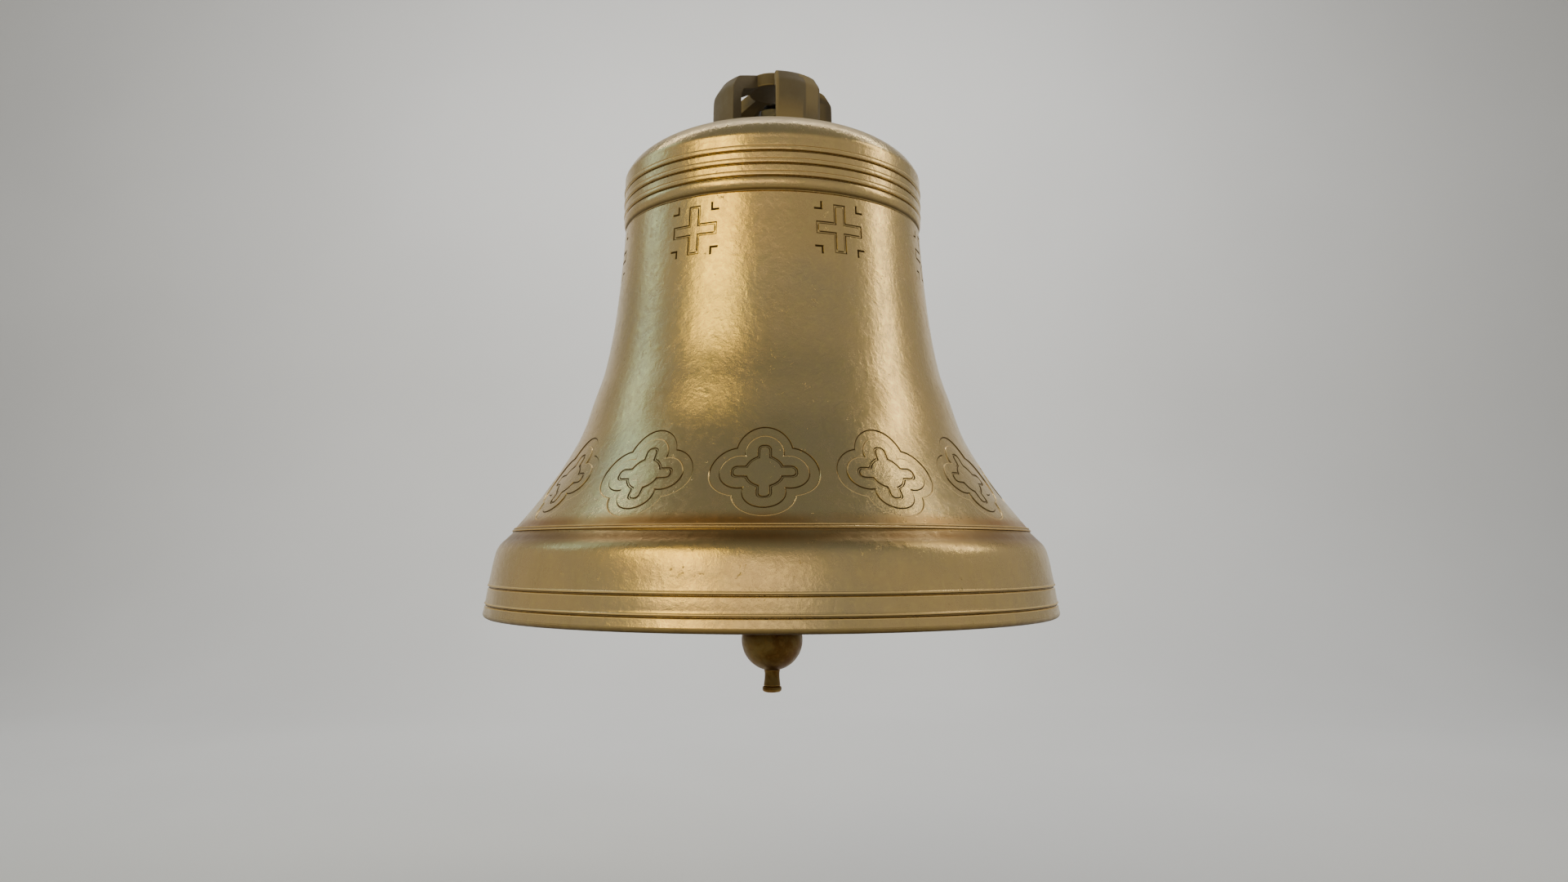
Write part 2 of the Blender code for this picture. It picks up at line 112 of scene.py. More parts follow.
def arc(radius, height, size, start, end, steps):
    turns = [math.radians(start + (end - start) * k / steps) for k in range(steps + 1)]
    return [(radius + size * math.cos(a), height + size * math.sin(a)) for a in turns]


WAIST = np.array(smooth([(0.2428, 0.6170), (0.2448, 0.5850), (0.2506, 0.5220), (0.2590, 0.4530),
                         (0.2720, 0.3850), (0.2880, 0.3360), (0.3070, 0.2800),
                         (0.3350, 0.2290), (0.3680, 0.1800), (0.4035, 0.1355)], 24))
WAIST_ALONG = np.concatenate([[0], np.cumsum(np.hypot(*np.diff(WAIST, axis=0).T))])
WAIST_EVEN = np.hanning(41) / np.hanning(41).sum()      # keeps the shading free of ripples
WAIST_SLOPE = np.gradient(WAIST, WAIST_ALONG, axis=0)
WAIST_SLOPE = np.stack([np.convolve(np.pad(side, 20, "edge"), WAIST_EVEN, "valid")
                        for side in WAIST_SLOPE.T], axis=1)


def waist_point(along):
    """Radius, height and outward normal (radial, up) of the waist, along its outline."""
    radius = np.interp(along, WAIST_ALONG, WAIST[:, 0])
    height = np.interp(along, WAIST_ALONG, WAIST[:, 1])
    dr = np.interp(along, WAIST_ALONG, WAIST_SLOPE[:, 0])
    dz = np.interp(along, WAIST_ALONG, WAIST_SLOPE[:, 1])
    size = math.hypot(dr, dz)
    return radius, height, (-dz / size, dr / size)


def along_at(height):
    return float(np.interp(-height, -WAIST[:, 1], WAIST_ALONG))


def soften(points, fillet=0.0004, guard=GUARD, closed=False):
    """Rounds each corner and stands a guard point on either side of it.

    Returns (radius, height, mark) rows: mark is above 0 at a hollow corner, which is darkened as
    dirt and painted shade, and below 0 at a proud corner, which is lightened as wear and painted
    highlight, unless the point brings its own mark.
    The outline runs down its outside.
    """
    if closed:
        rows = []
        corners = zip(points[-1:] + points[:-1], points, points[1:] + points[:1])
    else:
        rows = [(*points[0][:2], 0.0)]
        corners = zip(points, points[1:], points[2:])
    for before, point, after in corners:
        here, own = point[:2], point[2] if len(point) == 3 else None
        a, b = np.subtract(here, before[:2]), np.subtract(after[:2], here)
        la, lb = np.hypot(*a), np.hypot(*b)
        turn = math.atan2(a[0] * b[1] - a[1] * b[0], a @ b)
        if abs(turn) < math.radians(18):
            rows.append((*here, own or 0.0))
            continue
        mark = math.copysign(min(1.0, abs(turn) / math.radians(60)), turn) if own is None else own
        a, b = a / la, b / lb
        start, end = here - a * min(fillet, la * 0.3), here + b * min(fillet, lb * 0.3)
        middle = (start + end) / 4 + np.array(here) / 2
        for point, m in ((here - a * min(guard, la * 0.45), 0.0), (start, mark), (middle, mark),
                         (end, mark), (here + b * min(guard, lb * 0.45), 0.0)):
            rows.append((float(point[0]), float(point[1]), m))
    if not closed:
        rows.append((*points[-1][:2], 0.0))
    return rows


def ring(radius, low, tall, proud, upper_quirk=0.8):
    """A raised ring with a deep quirk cut below it and a fine one above, as deep as the last
    argument says; its marks paint a highlight on its top edge, and shade and dirt under it and in
    the quirks.
    """
    top = low + tall
    return [(radius, top + 0.0014, 0.1), (radius - 0.0008 * upper_quirk, top + 0.0006, upper_quirk),
            (radius + proud, top - 0.0002, -0.9), (radius + proud + 0.0003, top - tall / 2),
            (radius + proud, low + 0.0006, 0.6), (radius - 0.0014, low - 0.0002, 1.0),
            (radius - 0.0012, low - 0.0016, 1.0), (radius, low - 0.0026, 0.2)]


def upper_outline():
    """From the staple hole over the head and down the shoulder to the crease."""
    side = 0.2446
    points = [(0.0162, HEAD_TOP - 0.002), (0.0180, HEAD_TOP), (0.0560, HEAD_TOP)]
    points += smooth([(0.0640, 0.7765), (0.1100, 0.7725), (0.1600, 0.7620), (0.2016, 0.7460),
                      (0.2290, 0.7270), (0.2430, 0.7080), (side, 0.6960)], 8)
    for low in (0.6785, 0.6595, 0.6405):
        points += ring(side, low, 0.0065, 0.0011)
    bead = smooth([(side + 0.0002, 0.6378), (side + 0.0008, 0.6340), (side + 0.0004, 0.6290),
                   (side - 0.0012, 0.6240), (0.2410, 0.6205)], 4)
    # The bead is marked darker towards its underside: painted shade.
    points += [(r, z, min(max((0.6300 - z) / 0.0110, 0.0), 0.7)) for r, z in bead]
    return points + [(0.2402, 0.6192), (0.2412, 0.6180), (0.2428, 0.6170)]


def lower_outline():
    """From the foot of the waist down the sound bow, round the lip and up the inside."""
    points = [tuple(WAIST[-1]), (0.4043, 0.1347), (0.4066, 0.1345), (0.4074, 0.1332),
              (0.4070, 0.1326), (0.4090, 0.1312), (0.4098, 0.1296), (0.4085, 0.1284)]
    points += smooth([(0.4090, 0.1270), (0.4180, 0.1180), (0.4262, 0.1100), (0.4320, 0.1000),
                      (0.4365, 0.0830), (0.4400, 0.0640), (0.4422, 0.0530)], 6)
    points += ring(0.4426, 0.0472, 0.0030, 0.0010, 0.0)
    points += smooth([(0.4432, 0.0440), (0.4447, 0.0360), (0.4462, 0.0260)], 4)
    points += ring(0.4466, 0.0210, 0.0026, 0.0010, 0.0)
    # From here the lip is marked darker the further it turns under: painted shade.
    points += [(0.4474, 0.0180), (0.4490, 0.0110, 0.3)]
    rounding = arc(MOUTH - 0.0070, 0.0070, 0.0070, 0, -90, 10)
    points += [(r, z, 0.5 + 0.04 * k) for k, (r, z) in enumerate(rounding)]
    points += [(0.4300, 0.0, 0.7), (0.4270, 0.0004, 0.4), (0.4190, 0.0050)]
    points += smooth([(0.4040, 0.0250), (0.3860, 0.0520), (0.3690, 0.0850), (0.3570, 0.1180),
                      (0.3420, 0.1520), (0.3120, 0.2050), (0.2820, 0.2700), (0.2580, 0.3500),
                      (0.2400, 0.4400), (0.2270, 0.5600), (0.2190, 0.6600), (0.2120, 0.6950),
                      (0.1980, 0.7180), (0.1720, 0.7300), (0.1200, 0.7365)], 5)
    return points + [(0.0640, 0.7380), (0.0180, 0.7380), (0.0162, 0.7400)]


# ---------------------------------------------------------------- ornament, in metres on the bell

def circle_distance(x, y, cx, cy, radius):
    return math.hypot(x - cx, y - cy) - radius


def box_distance(x, y, half_x, half_y, corner=0.0):
    dx, dy = abs(x) - half_x + corner, abs(y) - half_y + corner
    return math.hypot(max(dx, 0), max(dy, 0)) + min(max(dx, dy), 0) - corner


def lobes(x, y, reach, radius):
    """A quatrefoil of four circles, filled in the middle."""
    centre = reach - radius
    cusp = (centre + math.sqrt(max(2 * radius ** 2 - centre ** 2, 0))) / 2
    parts = [circle_distance(x, y, centre * a, centre * b, radius)
             for a, b in ((1, 0), (-1, 0), (0, 1), (0, -1))]
    return min(*parts, box_distance(x, y, cusp, cusp))


def stubs(x, y, disc, half, reach, corner):
    """A disc with four short round-ended arms."""
    return min(circle_distance(x, y, 0, 0, disc), box_distance(x, y, half, reach, corner),
               box_distance(x, y, reach, half, corner))


def cross_distance(x, y, half, reach):
    return min(box_distance(x, y, half, reach), box_distance(x, y, reach, half))


def corner_distance(x, y):
    """The nearest of the four brackets: an L whose corner points at the cross."""
    near, arm, stroke = BRACKET
    x, y = abs(x) - near, abs(y) - near
    flat = box_distance(x - arm / 2, y - stroke / 2, arm / 2, stroke / 2)
    tall = box_distance(x - stroke / 2, y - arm / 2, stroke / 2, arm / 2)
    return min(flat, tall)


def quatrefoil_shapes():
    """The broad ring and the figure's channel, each as (outer edge, inner edge, lit from above).

    Where the last is True, the walls that face up get a painted highlight along their top edge;
    elsewhere walls are painted dark, as dirt and painted shade.
    """
    return [(lambda x, y: lobes(x, y, *RING[0]), lambda x, y: lobes(x, y, *RING[1]), True),
            (lambda x, y: stubs(x, y, *FIGURE[0]), lambda x, y: stubs(x, y, *FIGURE[1]), False)]


def cross_shapes():
    return [(lambda x, y: cross_distance(x, y, *CROSS[0]),
             lambda x, y: cross_distance(x, y, *CROSS[1]), False),
            (corner_distance, None, False)]


def recess_distance(shape, x, y):
    outer, inner, _ = shape
    return outer(x, y) if inner is None else max(outer(x, y), -inner(x, y))


def rounded_loop(distance, level, reach, step=0.0022):
    """The curve round the origin where distance equals level, with points on the diagonals."""
    count = max(48, int(2 * math.pi * reach / step) // 8 * 8)
    loop = []
    for k in range(count):
        angle = 2 * math.pi * k / count
        x, y = math.cos(angle), math.sin(angle)
        low, high = 0.0, reach * 1.25
        for _ in range(30):
            middle = (low + high) / 2
            within = distance(middle * x, middle * y) < level
            low, high = (middle, high) if within else (low, middle)
        loop.append((low * x, low * y))
    return loop


def straight_loop(corners, step=0.004):
    """A closed polygon with extra points along its sides."""
    loop = []
    for (x0, y0), (x1, y1) in zip(corners, corners[1:] + corners[:1]):
        count = max(1, round(math.hypot(x1 - x0, y1 - y0) / step))
        loop += [(x0 + (x1 - x0) * k / count, y0 + (y1 - y0) * k / count) for k in range(count)]
    return loop


def quatrefoil_loops():
    ring_shape, figure = quatrefoil_shapes()
    loops = []
    for distance, levels, reach in (
            (ring_shape[0], (GUARD, 0, -WALL, -WALL - GUARD), RING[0][0]),
            (ring_shape[1], (-GUARD, 0, WALL, WALL + GUARD), RING[1][0]),
            (figure[0], (GUARD, 0, -WALL, -FIGURE_CHANNEL / 2), FIGURE[0][2]),
            (figure[1], (-GUARD, 0, WALL), FIGURE[1][2])):
        loops += [rounded_loop(distance, level, reach) for level in levels]
    return loops


def cross_loops():
    loops = []
    for (half, reach), levels in ((CROSS[0], (GUARD, 0, -WALL, -CROSS_CHANNEL / 2)),
                                  (CROSS[1], (-GUARD, 0, WALL))):
        for level in levels:
            h, far = half + level, reach + level
            quarter = [(far, -h), (far, h), (h, h)]
            corners = []
            for a, b in ((1, 0), (0, 1), (-1, 0), (0, -1)):
                corners += [(a * x - b * y, b * x + a * y) for x, y in quarter]
            loops.append(straight_loop(corners))
    near, arm, stroke = BRACKET
    for level in (GUARD, 0, -WALL):
        low, wide, thick = near - level, near + arm + level, near + stroke + level
        corners = [(low, low), (wide, low), (wide, thick), (thick, thick), (thick, wide),
                   (low, wide)]
        for a, b in ((1, 1), (1, -1), (-1, 1), (-1, -1)):
            loops.append(straight_loop([(a * x, b * y) for x, y in corners]))
    return loops


def tile(loops, shapes, xs, ys):
    """Triangulates one ornament in its own rectangle, xs and ys being the grid's lines.

    Returns points as (x, y, depth, mark, lean), the rectangle's edge points and triangles.
    lean is how a wall leans, across and upwards, and (0, 0) away from the walls.
    """
    edge = [(x, ys[0]) for x in xs] + [(xs[-1], y) for y in ys[1:]]
    edge += [(x, ys[-1]) for x in xs[-2::-1]] + [(xs[0], y) for y in ys[-2:0:-1]]
    points = list(edge)
    links = [(k, (k + 1) % len(edge)) for k in range(len(edge))]
    for loop in loops:
        start = len(points)
        points += loop
        links += [(start + k, start + (k + 1) % len(loop)) for k in range(len(loop))]
    taken = np.array(points[len(edge):])
    clearance = 0.0032
    for x in xs[1:-1]:
        for y in ys[1:-1]:
            if np.min(np.hypot(taken[:, 0] - x, taken[:, 1] - y)) > clearance:
                points.append((x, y))
    scale = 1000.0
    flat = [Vector((x * scale, y * scale)) for x, y in points]
    made, _, triangles, origin, _, _ = delaunay_2d_cdt(flat, links, [], 0, 1e-5)
    result = []
    back = {}
    close, nudge = WALL * 0.3, 1e-5
    for number, place in enumerate(made):
        x, y = place[0] / scale, place[1] / scale
        if origin[number]:
            back[number] = origin[number][0]
            x, y = points[origin[number][0]]
        depth = mark = 0.0
        lean = (0.0, 0.0)
        for shape in shapes:
            sd = recess_distance(shape, x, y)
            depth += RECESS * min(max(-sd / WALL, 0.0), 1.0)
            if -WALL - close < sd < close:
                lean = tuple((recess_distance(shape, x + a, y + b)
                              - recess_distance(shape, x - a, y - b)) / (2 * nudge)
                             for a, b in ((nudge, 0.0), (0.0, nudge)))
            # A wall's foot and top edge are marked dark, as dirt and painted shade; on up-facing
            # walls of a shape flagged as lit from above, the top edge gets a painted highlight
            # instead.
            facing_up = min(max((0.1 - lean[1]) / 0.4, 0.0), 1.0) if shape[2] else 0.0
            if abs(sd + WALL) < close:
                mark = 1.0 - 0.3 * facing_up
            elif abs(sd) < close:
                mark = 0.55 - 1.55 * facing_up
        result.append((x, y, depth, mark, lean))
    order = {first: number for number, first in back.items() if first < len(edge)}
    return result, [order[k] for k in range(len(edge))], triangles


# ---------------------------------------------------------------- meshes

def link(name, data, look=None):
    made = bpy.data.objects.new(name, data)
    bpy.context.scene.collection.objects.link(made)
    if look:
        data.materials.append(look)
    return made


def from_bmesh(name, bm, look=None, sharp=35):
    bmesh.ops.remove_doubles(bm, verts=bm.verts, dist=1e-6)
    bmesh.ops.recalc_face_normals(bm, faces=bm.faces)
    mesh = bpy.data.meshes.new(name)
    bm.to_mesh(mesh)
    bm.free()
    mesh.shade_smooth()
    mesh.set_sharp_from_angle(angle=math.radians(sharp))
    return link(name, mesh, look)


def column_turn(column):
    return QUATREFOIL_TURN + (column - COLUMNS / QUATREFOILS / 2) * 2 * math.pi / COLUMNS


def bell_rows():
    """The rows of the bell's skin, and the first and last row of each band of ornament.

    A row is (radius, height, mark, normal, along). Only rows on the waist have the last two.
    """
    rows = [(r, z, m, None, None) for r, z, m in soften(upper_outline())[:-1]]
    cross, foil = along_at(CROSS_HEIGHT), along_at(QUATREFOIL_HEIGHT)
    stops = [0.0, cross - CROSS_BAND, cross + CROSS_BAND, foil - QUATREFOIL_BAND,
             foil + QUATREFOIL_BAND, float(WAIST_ALONG[-1])]
    spacing = 0.0085
    alongs = []
    for start, end in zip(stops, stops[1:]):
        count = max(2, round((end - start) / spacing))
        alongs += [start + (end - start) * k / count for k in range(count)]
    alongs.append(stops[-1])
    for along in alongs:
        radius, height, normal = waist_point(along)
        rows.append((radius, height, 0.0, normal, along))
    rows += [(r, z, m, None, None) for r, z, m in soften(lower_outline())[1:]]
    bands = []
    for start, end in ((stops[1], stops[2]), (stops[3], stops[4])):
        inside = [k for k, row in enumerate(rows)
                  if row[4] is not None and start - 1e-6 <= row[4] <= end + 1e-6]
        bands.append((inside[0], inside[-1]))
    return rows, bands


def make_bell(look):
    """The bell as one skin, with a ready-made tile in each field of the ornament bands.

    The waist has its own normals, so that the tiles' triangles don't show in the gloss.
    """
    rows, (cross_band, foil_band) = bell_rows()
    step = 2 * math.pi / COLUMNS
    lip_row = min(range(len(rows)), key=lambda row: rows[row][1])
    places, marks, insides, normals, leaning, faces, kinds = [], [], [], [], [], [], []
    grid = {}

    def vertex(turn, radius, height, mark, normal, depth=0.0, lean=(0.0, 0.0), inside=0.0):
        away = across = up = Vector()
        if normal:
            radius, height = radius - normal[0] * depth, height - normal[1] * depth
            away = Vector((normal[0] * math.sin(turn), -normal[0] * math.cos(turn), normal[1]))
            across = Vector((math.cos(turn), math.sin(turn), 0.0))
            up = across.cross(-away)
        normals.append(tuple(away))
        tilt = RECESS / WALL * (lean[0] * across + lean[1] * up)
        leaning.append(tuple((away - tilt).normalized()))
        places.append((radius * math.sin(turn), -radius * math.cos(turn), height + LIP))
        marks.append(mark)
        insides.append(inside)
        return len(places) - 1

    def corner(row, column):
        key = (row, column % COLUMNS)
        if key not in grid:
            radius, height, mark, normal, _ = rows[row]
            grid[key] = vertex(column_turn(column), radius, height, mark, normal,
                               inside=float(row > lip_row))
        return grid[key]

    def ornament(band, loops, shapes, count, width, first, centre_turn, centre_height):
        low, high = band
        centre_along = along_at(centre_height)
        reference = waist_point(centre_along)[0]
        xs = [(column_turn(first + k) - centre_turn) * reference for k in range(width + 1)]
        ys = [centre_along - rows[k][4] for k in range(high, low - 1, -1)]
        points, edge, triangles = tile(loops, shapes, xs, ys)
        ring_keys = [(high, k) for k in range(width + 1)]
        ring_keys += [(k, width) for k in range(high - 1, low - 1, -1)]
        ring_keys += [(low, k) for k in range(width - 1, -1, -1)]
        ring_keys += [(k, 0) for k in range(low + 1, high)]
        for number in range(count):
            turn0 = centre_turn + number * 2 * math.pi / count
            known = {edge[k]: corner(row, first + number * width + column)
                     for k, (row, column) in enumerate(ring_keys)}
            for k, (x, y, depth, mark, lean) in enumerate(points):
                if k not in known:
                    radius, height, normal = waist_point(centre_along - y)
                    known[k] = vertex(turn0 + x / reference, radius, height, mark, normal, depth,
                                      lean)
            for triangle in triangles:
                depths = [points[k][2] for k in triangle]
                faces.append([known[k] for k in triangle])
                kinds.append(2 if max(depths) - min(depths) > RECESS / 4 else 1)

    for row in range(len(rows)):
        following = (row + 1) % len(rows)
        if any(low <= row < high for low, high in (cross_band, foil_band)):
            continue
        kind = 1 if rows[row][4] is not None and rows[following][4] is not None else 0
        for column in range(COLUMNS):
            faces.append([corner(row, column), corner(row, column + 1),
                          corner(following, column + 1), corner(following, column)])
            kinds.append(kind)
    width = COLUMNS // CROSSES
    first = round((CROSS_TURN - column_turn(0)) / step) - width // 2
    ornament(cross_band, cross_loops(), cross_shapes(), CROSSES, width, first, CROSS_TURN,
             CROSS_HEIGHT)
    ornament(foil_band, quatrefoil_loops(), quatrefoil_shapes(), QUATREFOILS,
             COLUMNS // QUATREFOILS, 0, QUATREFOIL_TURN, QUATREFOIL_HEIGHT)

    mesh = bpy.data.meshes.new("bell_casting")
    mesh.from_pydata(places, [], faces)
    bm = bmesh.new()
    bm.from_mesh(mesh)
    bmesh.ops.recalc_face_normals(bm, faces=bm.faces)
    bm.to_mesh(mesh)
    bm.free()
    mesh.shade_smooth()
    mesh.attributes.new("mark", "FLOAT", "POINT").data.foreach_set("value", marks)
    mesh.attributes.new("inside", "FLOAT", "POINT").data.foreach_set("value", insides)
    custom = []
    for polygon, kind in zip(mesh.polygons, kinds):
        for k in polygon.vertices:
            custom.append((leaning if kind == 2 else normals)[k] if kind else (0.0, 0.0, 0.0))
    mesh.normals_split_custom_set(custom)
    return link("bell_casting", mesh, look)


def lathe(rows, segments, closed=False, edge=None):
    """Revolves (radius, height, mark) rows about Z. Rows on the axis become single points.

    edge, when given, maps an angle, a radius and a height to that point's own radius and
    height, for hexagons, squares, slots and threads.
    """
    bm = bmesh.new()
    layer = bm.verts.layers.float.new("mark")
    rings = []
    for radius, height, mark in rows:
        circle = []
        for k in range(1 if radius < 1e-9 else segments):
            angle = 2 * math.pi * k / segments
            r, z = edge(angle, radius, height) if edge else (radius, height)
            circle.append(bm.verts.new((r * math.cos(angle), r * math.sin(angle), z)))
            circle[-1][layer] = mark
        rings.append(circle if len(circle) > 1 else circle * segments)
    for here, there in zip(rings, rings[1:] + rings[:1] if closed else rings[1:]):
        for k in range(segments):
            j = (k + 1) % segments
            corners = list(dict.fromkeys((here[k], here[j], there[j], there[k])))
            if len(corners) > 2:
                bm.faces.new(corners)
    return bm


def turned(points, segments=48, fillet=0.0006, edge=None):
    """A solid from an open outline that starts and ends on the axis, top end first."""
    return lathe(soften(points, fillet, 2 * fillet), segments, edge=edge)


def washer(inner, outer, low, high, fillet=0.0005, segments=48, edge=None):
    points = [(inner, high), (outer, high), (outer, low), (inner, low)]
    return lathe(soften(points, fillet, 2 * fillet, closed=True), segments, True, edge)


def prism(outline, thickness):
    """Extrudes an outline in X and Z along Y, thickness in all, centred on Y = 0."""
    bm = bmesh.new()
    front = bm.faces.new([bm.verts.new((x, -thickness / 2, z)) for x, z in outline])
    made = bmesh.ops.extrude_face_region(bm, geom=[front])
    far = [item for item in made["geom"] if isinstance(item, bmesh.types.BMVert)]
    bmesh.ops.translate(bm, verts=far, vec=(0, thickness, 0))
    return bm


def placed(bm, matrix):
    bmesh.ops.transform(bm, matrix=matrix, verts=bm.verts)
    return bm


def ease_edges(bm, width):
    """Bevels every sharp edge in two steps, and marks it: proud ones to be lightened as wear,
    hollow ones to be darkened as dirt and painted shade.
    """
    sharp = math.radians(40)
    layer = bm.verts.layers.float.get("mark") or bm.verts.layers.float.new("mark")
    bmesh.ops.remove_doubles(bm, verts=bm.verts, dist=1e-6)
    bmesh.ops.recalc_face_normals(bm, faces=bm.faces)
    edges = [e for e in bm.edges
             if len(e.link_faces) == 2 and e.calc_face_angle(0) > sharp]
    hollow = {v for e in edges if not e.is_convex for v in e.verts}
    for edge in edges:
        for vertex in edge.verts:
            vertex[layer] = 1.0 if vertex in hollow else -1.0
    bmesh.ops.bevel(bm, geom=edges, offset=width, segments=2, profile=0.5, affect="EDGES",
                    clamp_overlap=True)
    return bm


def combine(target, operation, *solids):
    """Joins or cuts a bmesh with others and returns the result as a new bmesh."""
    body = from_bmesh("body", target)
    tools = [from_bmesh("tool", solid) for solid in solids]
    for tool in tools:
        step = body.modifiers.new("step", "BOOLEAN")
        step.object, step.operation, step.solver = tool, operation, "EXACT"
    view = bpy.context.evaluated_depsgraph_get()
    result = bmesh.new()
    result.from_mesh(body.evaluated_get(view).data)
    for old in [body, *tools]:
        mesh = old.data
        bpy.data.objects.remove(old)
        bpy.data.meshes.remove(mesh)
    return result


def tube(path, radius):
    """A closed round wire through the points, its frame carried along without twist."""
    sides = 10
    bm = bmesh.new()
    places = [Vector(p) for p in path]
    across = None
    rings = []
    for k, place in enumerate(places):
        ahead = (places[min(k + 1, len(places) - 1)] - places[max(k - 1, 0)]).normalized()
        across = across or ahead.orthogonal()
        across = (across - ahead * across.dot(ahead)).normalized()
        side = ahead.cross(across)
        rings.append([bm.verts.new(place + radius * (across * math.cos(a) + side * math.sin(a)))
                      for a in (2 * math.pi * j / sides for j in range(sides))])
    for here, there in zip(rings, rings[1:]):
        for j in range(sides):
            bm.faces.new((here[j], here[(j + 1) % sides], there[(j + 1) % sides], there[j]))
    bm.faces.new(rings[0])
    bm.faces.new(rings[-1])
    return bm


def piece(name, bm, look, body, slot, *nodes, sharp=35):
    made = from_bmesh(name, bm, look, sharp)
    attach(made, body)
    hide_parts(*nodes)


def forged(name, bm, steel, node, sharp=35):
    """A steel piece that rides on the bell."""
    piece(name, bm, steel, "bell", "forged_steel", node, sharp=sharp)


# ---------------------------------------------------------------- crown

def head_at(radius):
    """The height of the bell's head, where a strap stands on it."""
    head = [point for point in upper_outline() if point[0] < 0.2]
    return float(np.interp(radius, [point[0] for point in head], [point[1] for point in head]))


def sector(outline, turn, half_angle, steps=12):
    """Turns a closed outline through part of a circle and caps both ends."""
    bm = bmesh.new()
    rings = []
    for k in range(steps + 1):
        angle = turn + half_angle * (2 * k / steps - 1)
        rings.append([bm.verts.new((r * math.cos(angle), r * math.sin(angle), z))
                      for r, z in outline])
    for here, there in zip(rings, rings[1:]):
        for k in range(len(outline)):
            j = (k + 1) % len(outline)
            bm.faces.new((here[k], here[j], there[j], there[k]))
    bm.faces.new(rings[0])
    bm.faces.new(rings[-1])
    return bm


def make_crown(look):
    """Four bent straps in one casting with the hub that they carry."""
    buried = HUB_RADIUS - 0.006
    bend = smooth([(0.1000, 0.8440), (0.0992, 0.8520), (0.0950, 0.8595)], 2)
    strap = [(0.1012, head_at(0.1012) - 0.0012), *bend, (0.0880, 0.8705), (0.0830, 0.8742),
             (HUB_RADIUS + 0.0005, HUB_TOP - 0.0006), (buried, HUB_TOP - 0.0006),
             (buried, HUB_UNDER + 0.0005), (0.0740, 0.8540), (0.0785, 0.8450), (0.0800, 0.8360),
             (0.0792, head_at(0.0792) - 0.0012)]
    half_width = math.radians(23.5)
    straps = [ease_edges(sector(strap, math.radians(turn), half_width), 0.0009)
              for turn in (-45, 45, 135, 225)]
    hub = turned([(0, HUB_TOP), (HUB_RADIUS, HUB_TOP), (HUB_RADIUS, HUB_UNDER), (0, HUB_UNDER)],
                 64, 0.0012)
    crown = placed(combine(hub, "UNION", *straps), Matrix.Translation((0, 0, LIP)))
    piece("crown_casting", crown, look, "bell", "bell_bronze", "crown_hub", "crown_canon_1",
          "crown_canon_2", "crown_canon_3", "crown_canon_4", sharp=18)


# ---------------------------------------------------------------- staple and its fastenings

FORK_HALF = 0.0386           # half the fork's width along the pin
SLOT_HALF = 0.0226           # half the width of the slot that the clapper's eye hangs in
PIN_BORE = 0.0123            # radius of the bores that the clapper's pin runs in
FIT = 0.0003                 # play round a shank, and between parts that clamp together
WIRE = 0.0011                # radius of the split pins' wire


def hexagon(flats, low, high):
    """The edge of a hexagon nut whose corners are cut back by a 30 degree cone."""
    apothem = flats / 2

    def edge(angle, radius, height):
        if radius < apothem * 0.9:
            return radius, height
        side = min(apothem / math.cos(angle % (math.pi / 3) - math.pi / 6), apothem * 1.135)
        end = min(high - height, height - low)
        return min(side, apothem * 0.985 + end / math.tan(math.radians(30))), height
    return edge


def nut(inner, flats, low, high):
    outer = flats / 2
    cone = [k * 0.0008 for k in range(5)]
    points = [(inner, high - 0.0012), (inner + 0.0012, high)]
    points += [(outer, high - drop) for drop in cone] + [(outer, low + drop) for drop in cone[::-1]]
    points += [(inner + 0.0012, low), (inner, low + 0.0012)]
    rows = [(r, z, -0.5 if r == outer else 0.0) for r, z in points]
    return lathe(rows, 96, True, hexagon(flats, low, high))


def thread(radius, pitch, depth, low, high):
    """The edge of a threaded shank between two heights."""
    def edge(angle, r, z):
        if abs(r - radius) > 1e-6 or not low < z < high:
            return r, z
        turn = (z / pitch - angle / (2 * math.pi)) % 1
        fade = min(1, (high - z) / pitch, (z - low) / pitch)
        return r - depth * fade * (1 - abs(2 * turn - 1)), z
    return edge


def thread_rows(radius, pitch, low, high):
    """Rows down a threaded shank, eight to a turn of its thread."""
    count = int((high - low) / (pitch / 8))
    return [(radius, high - k * pitch / 8, 0.0) for k in range(count)]


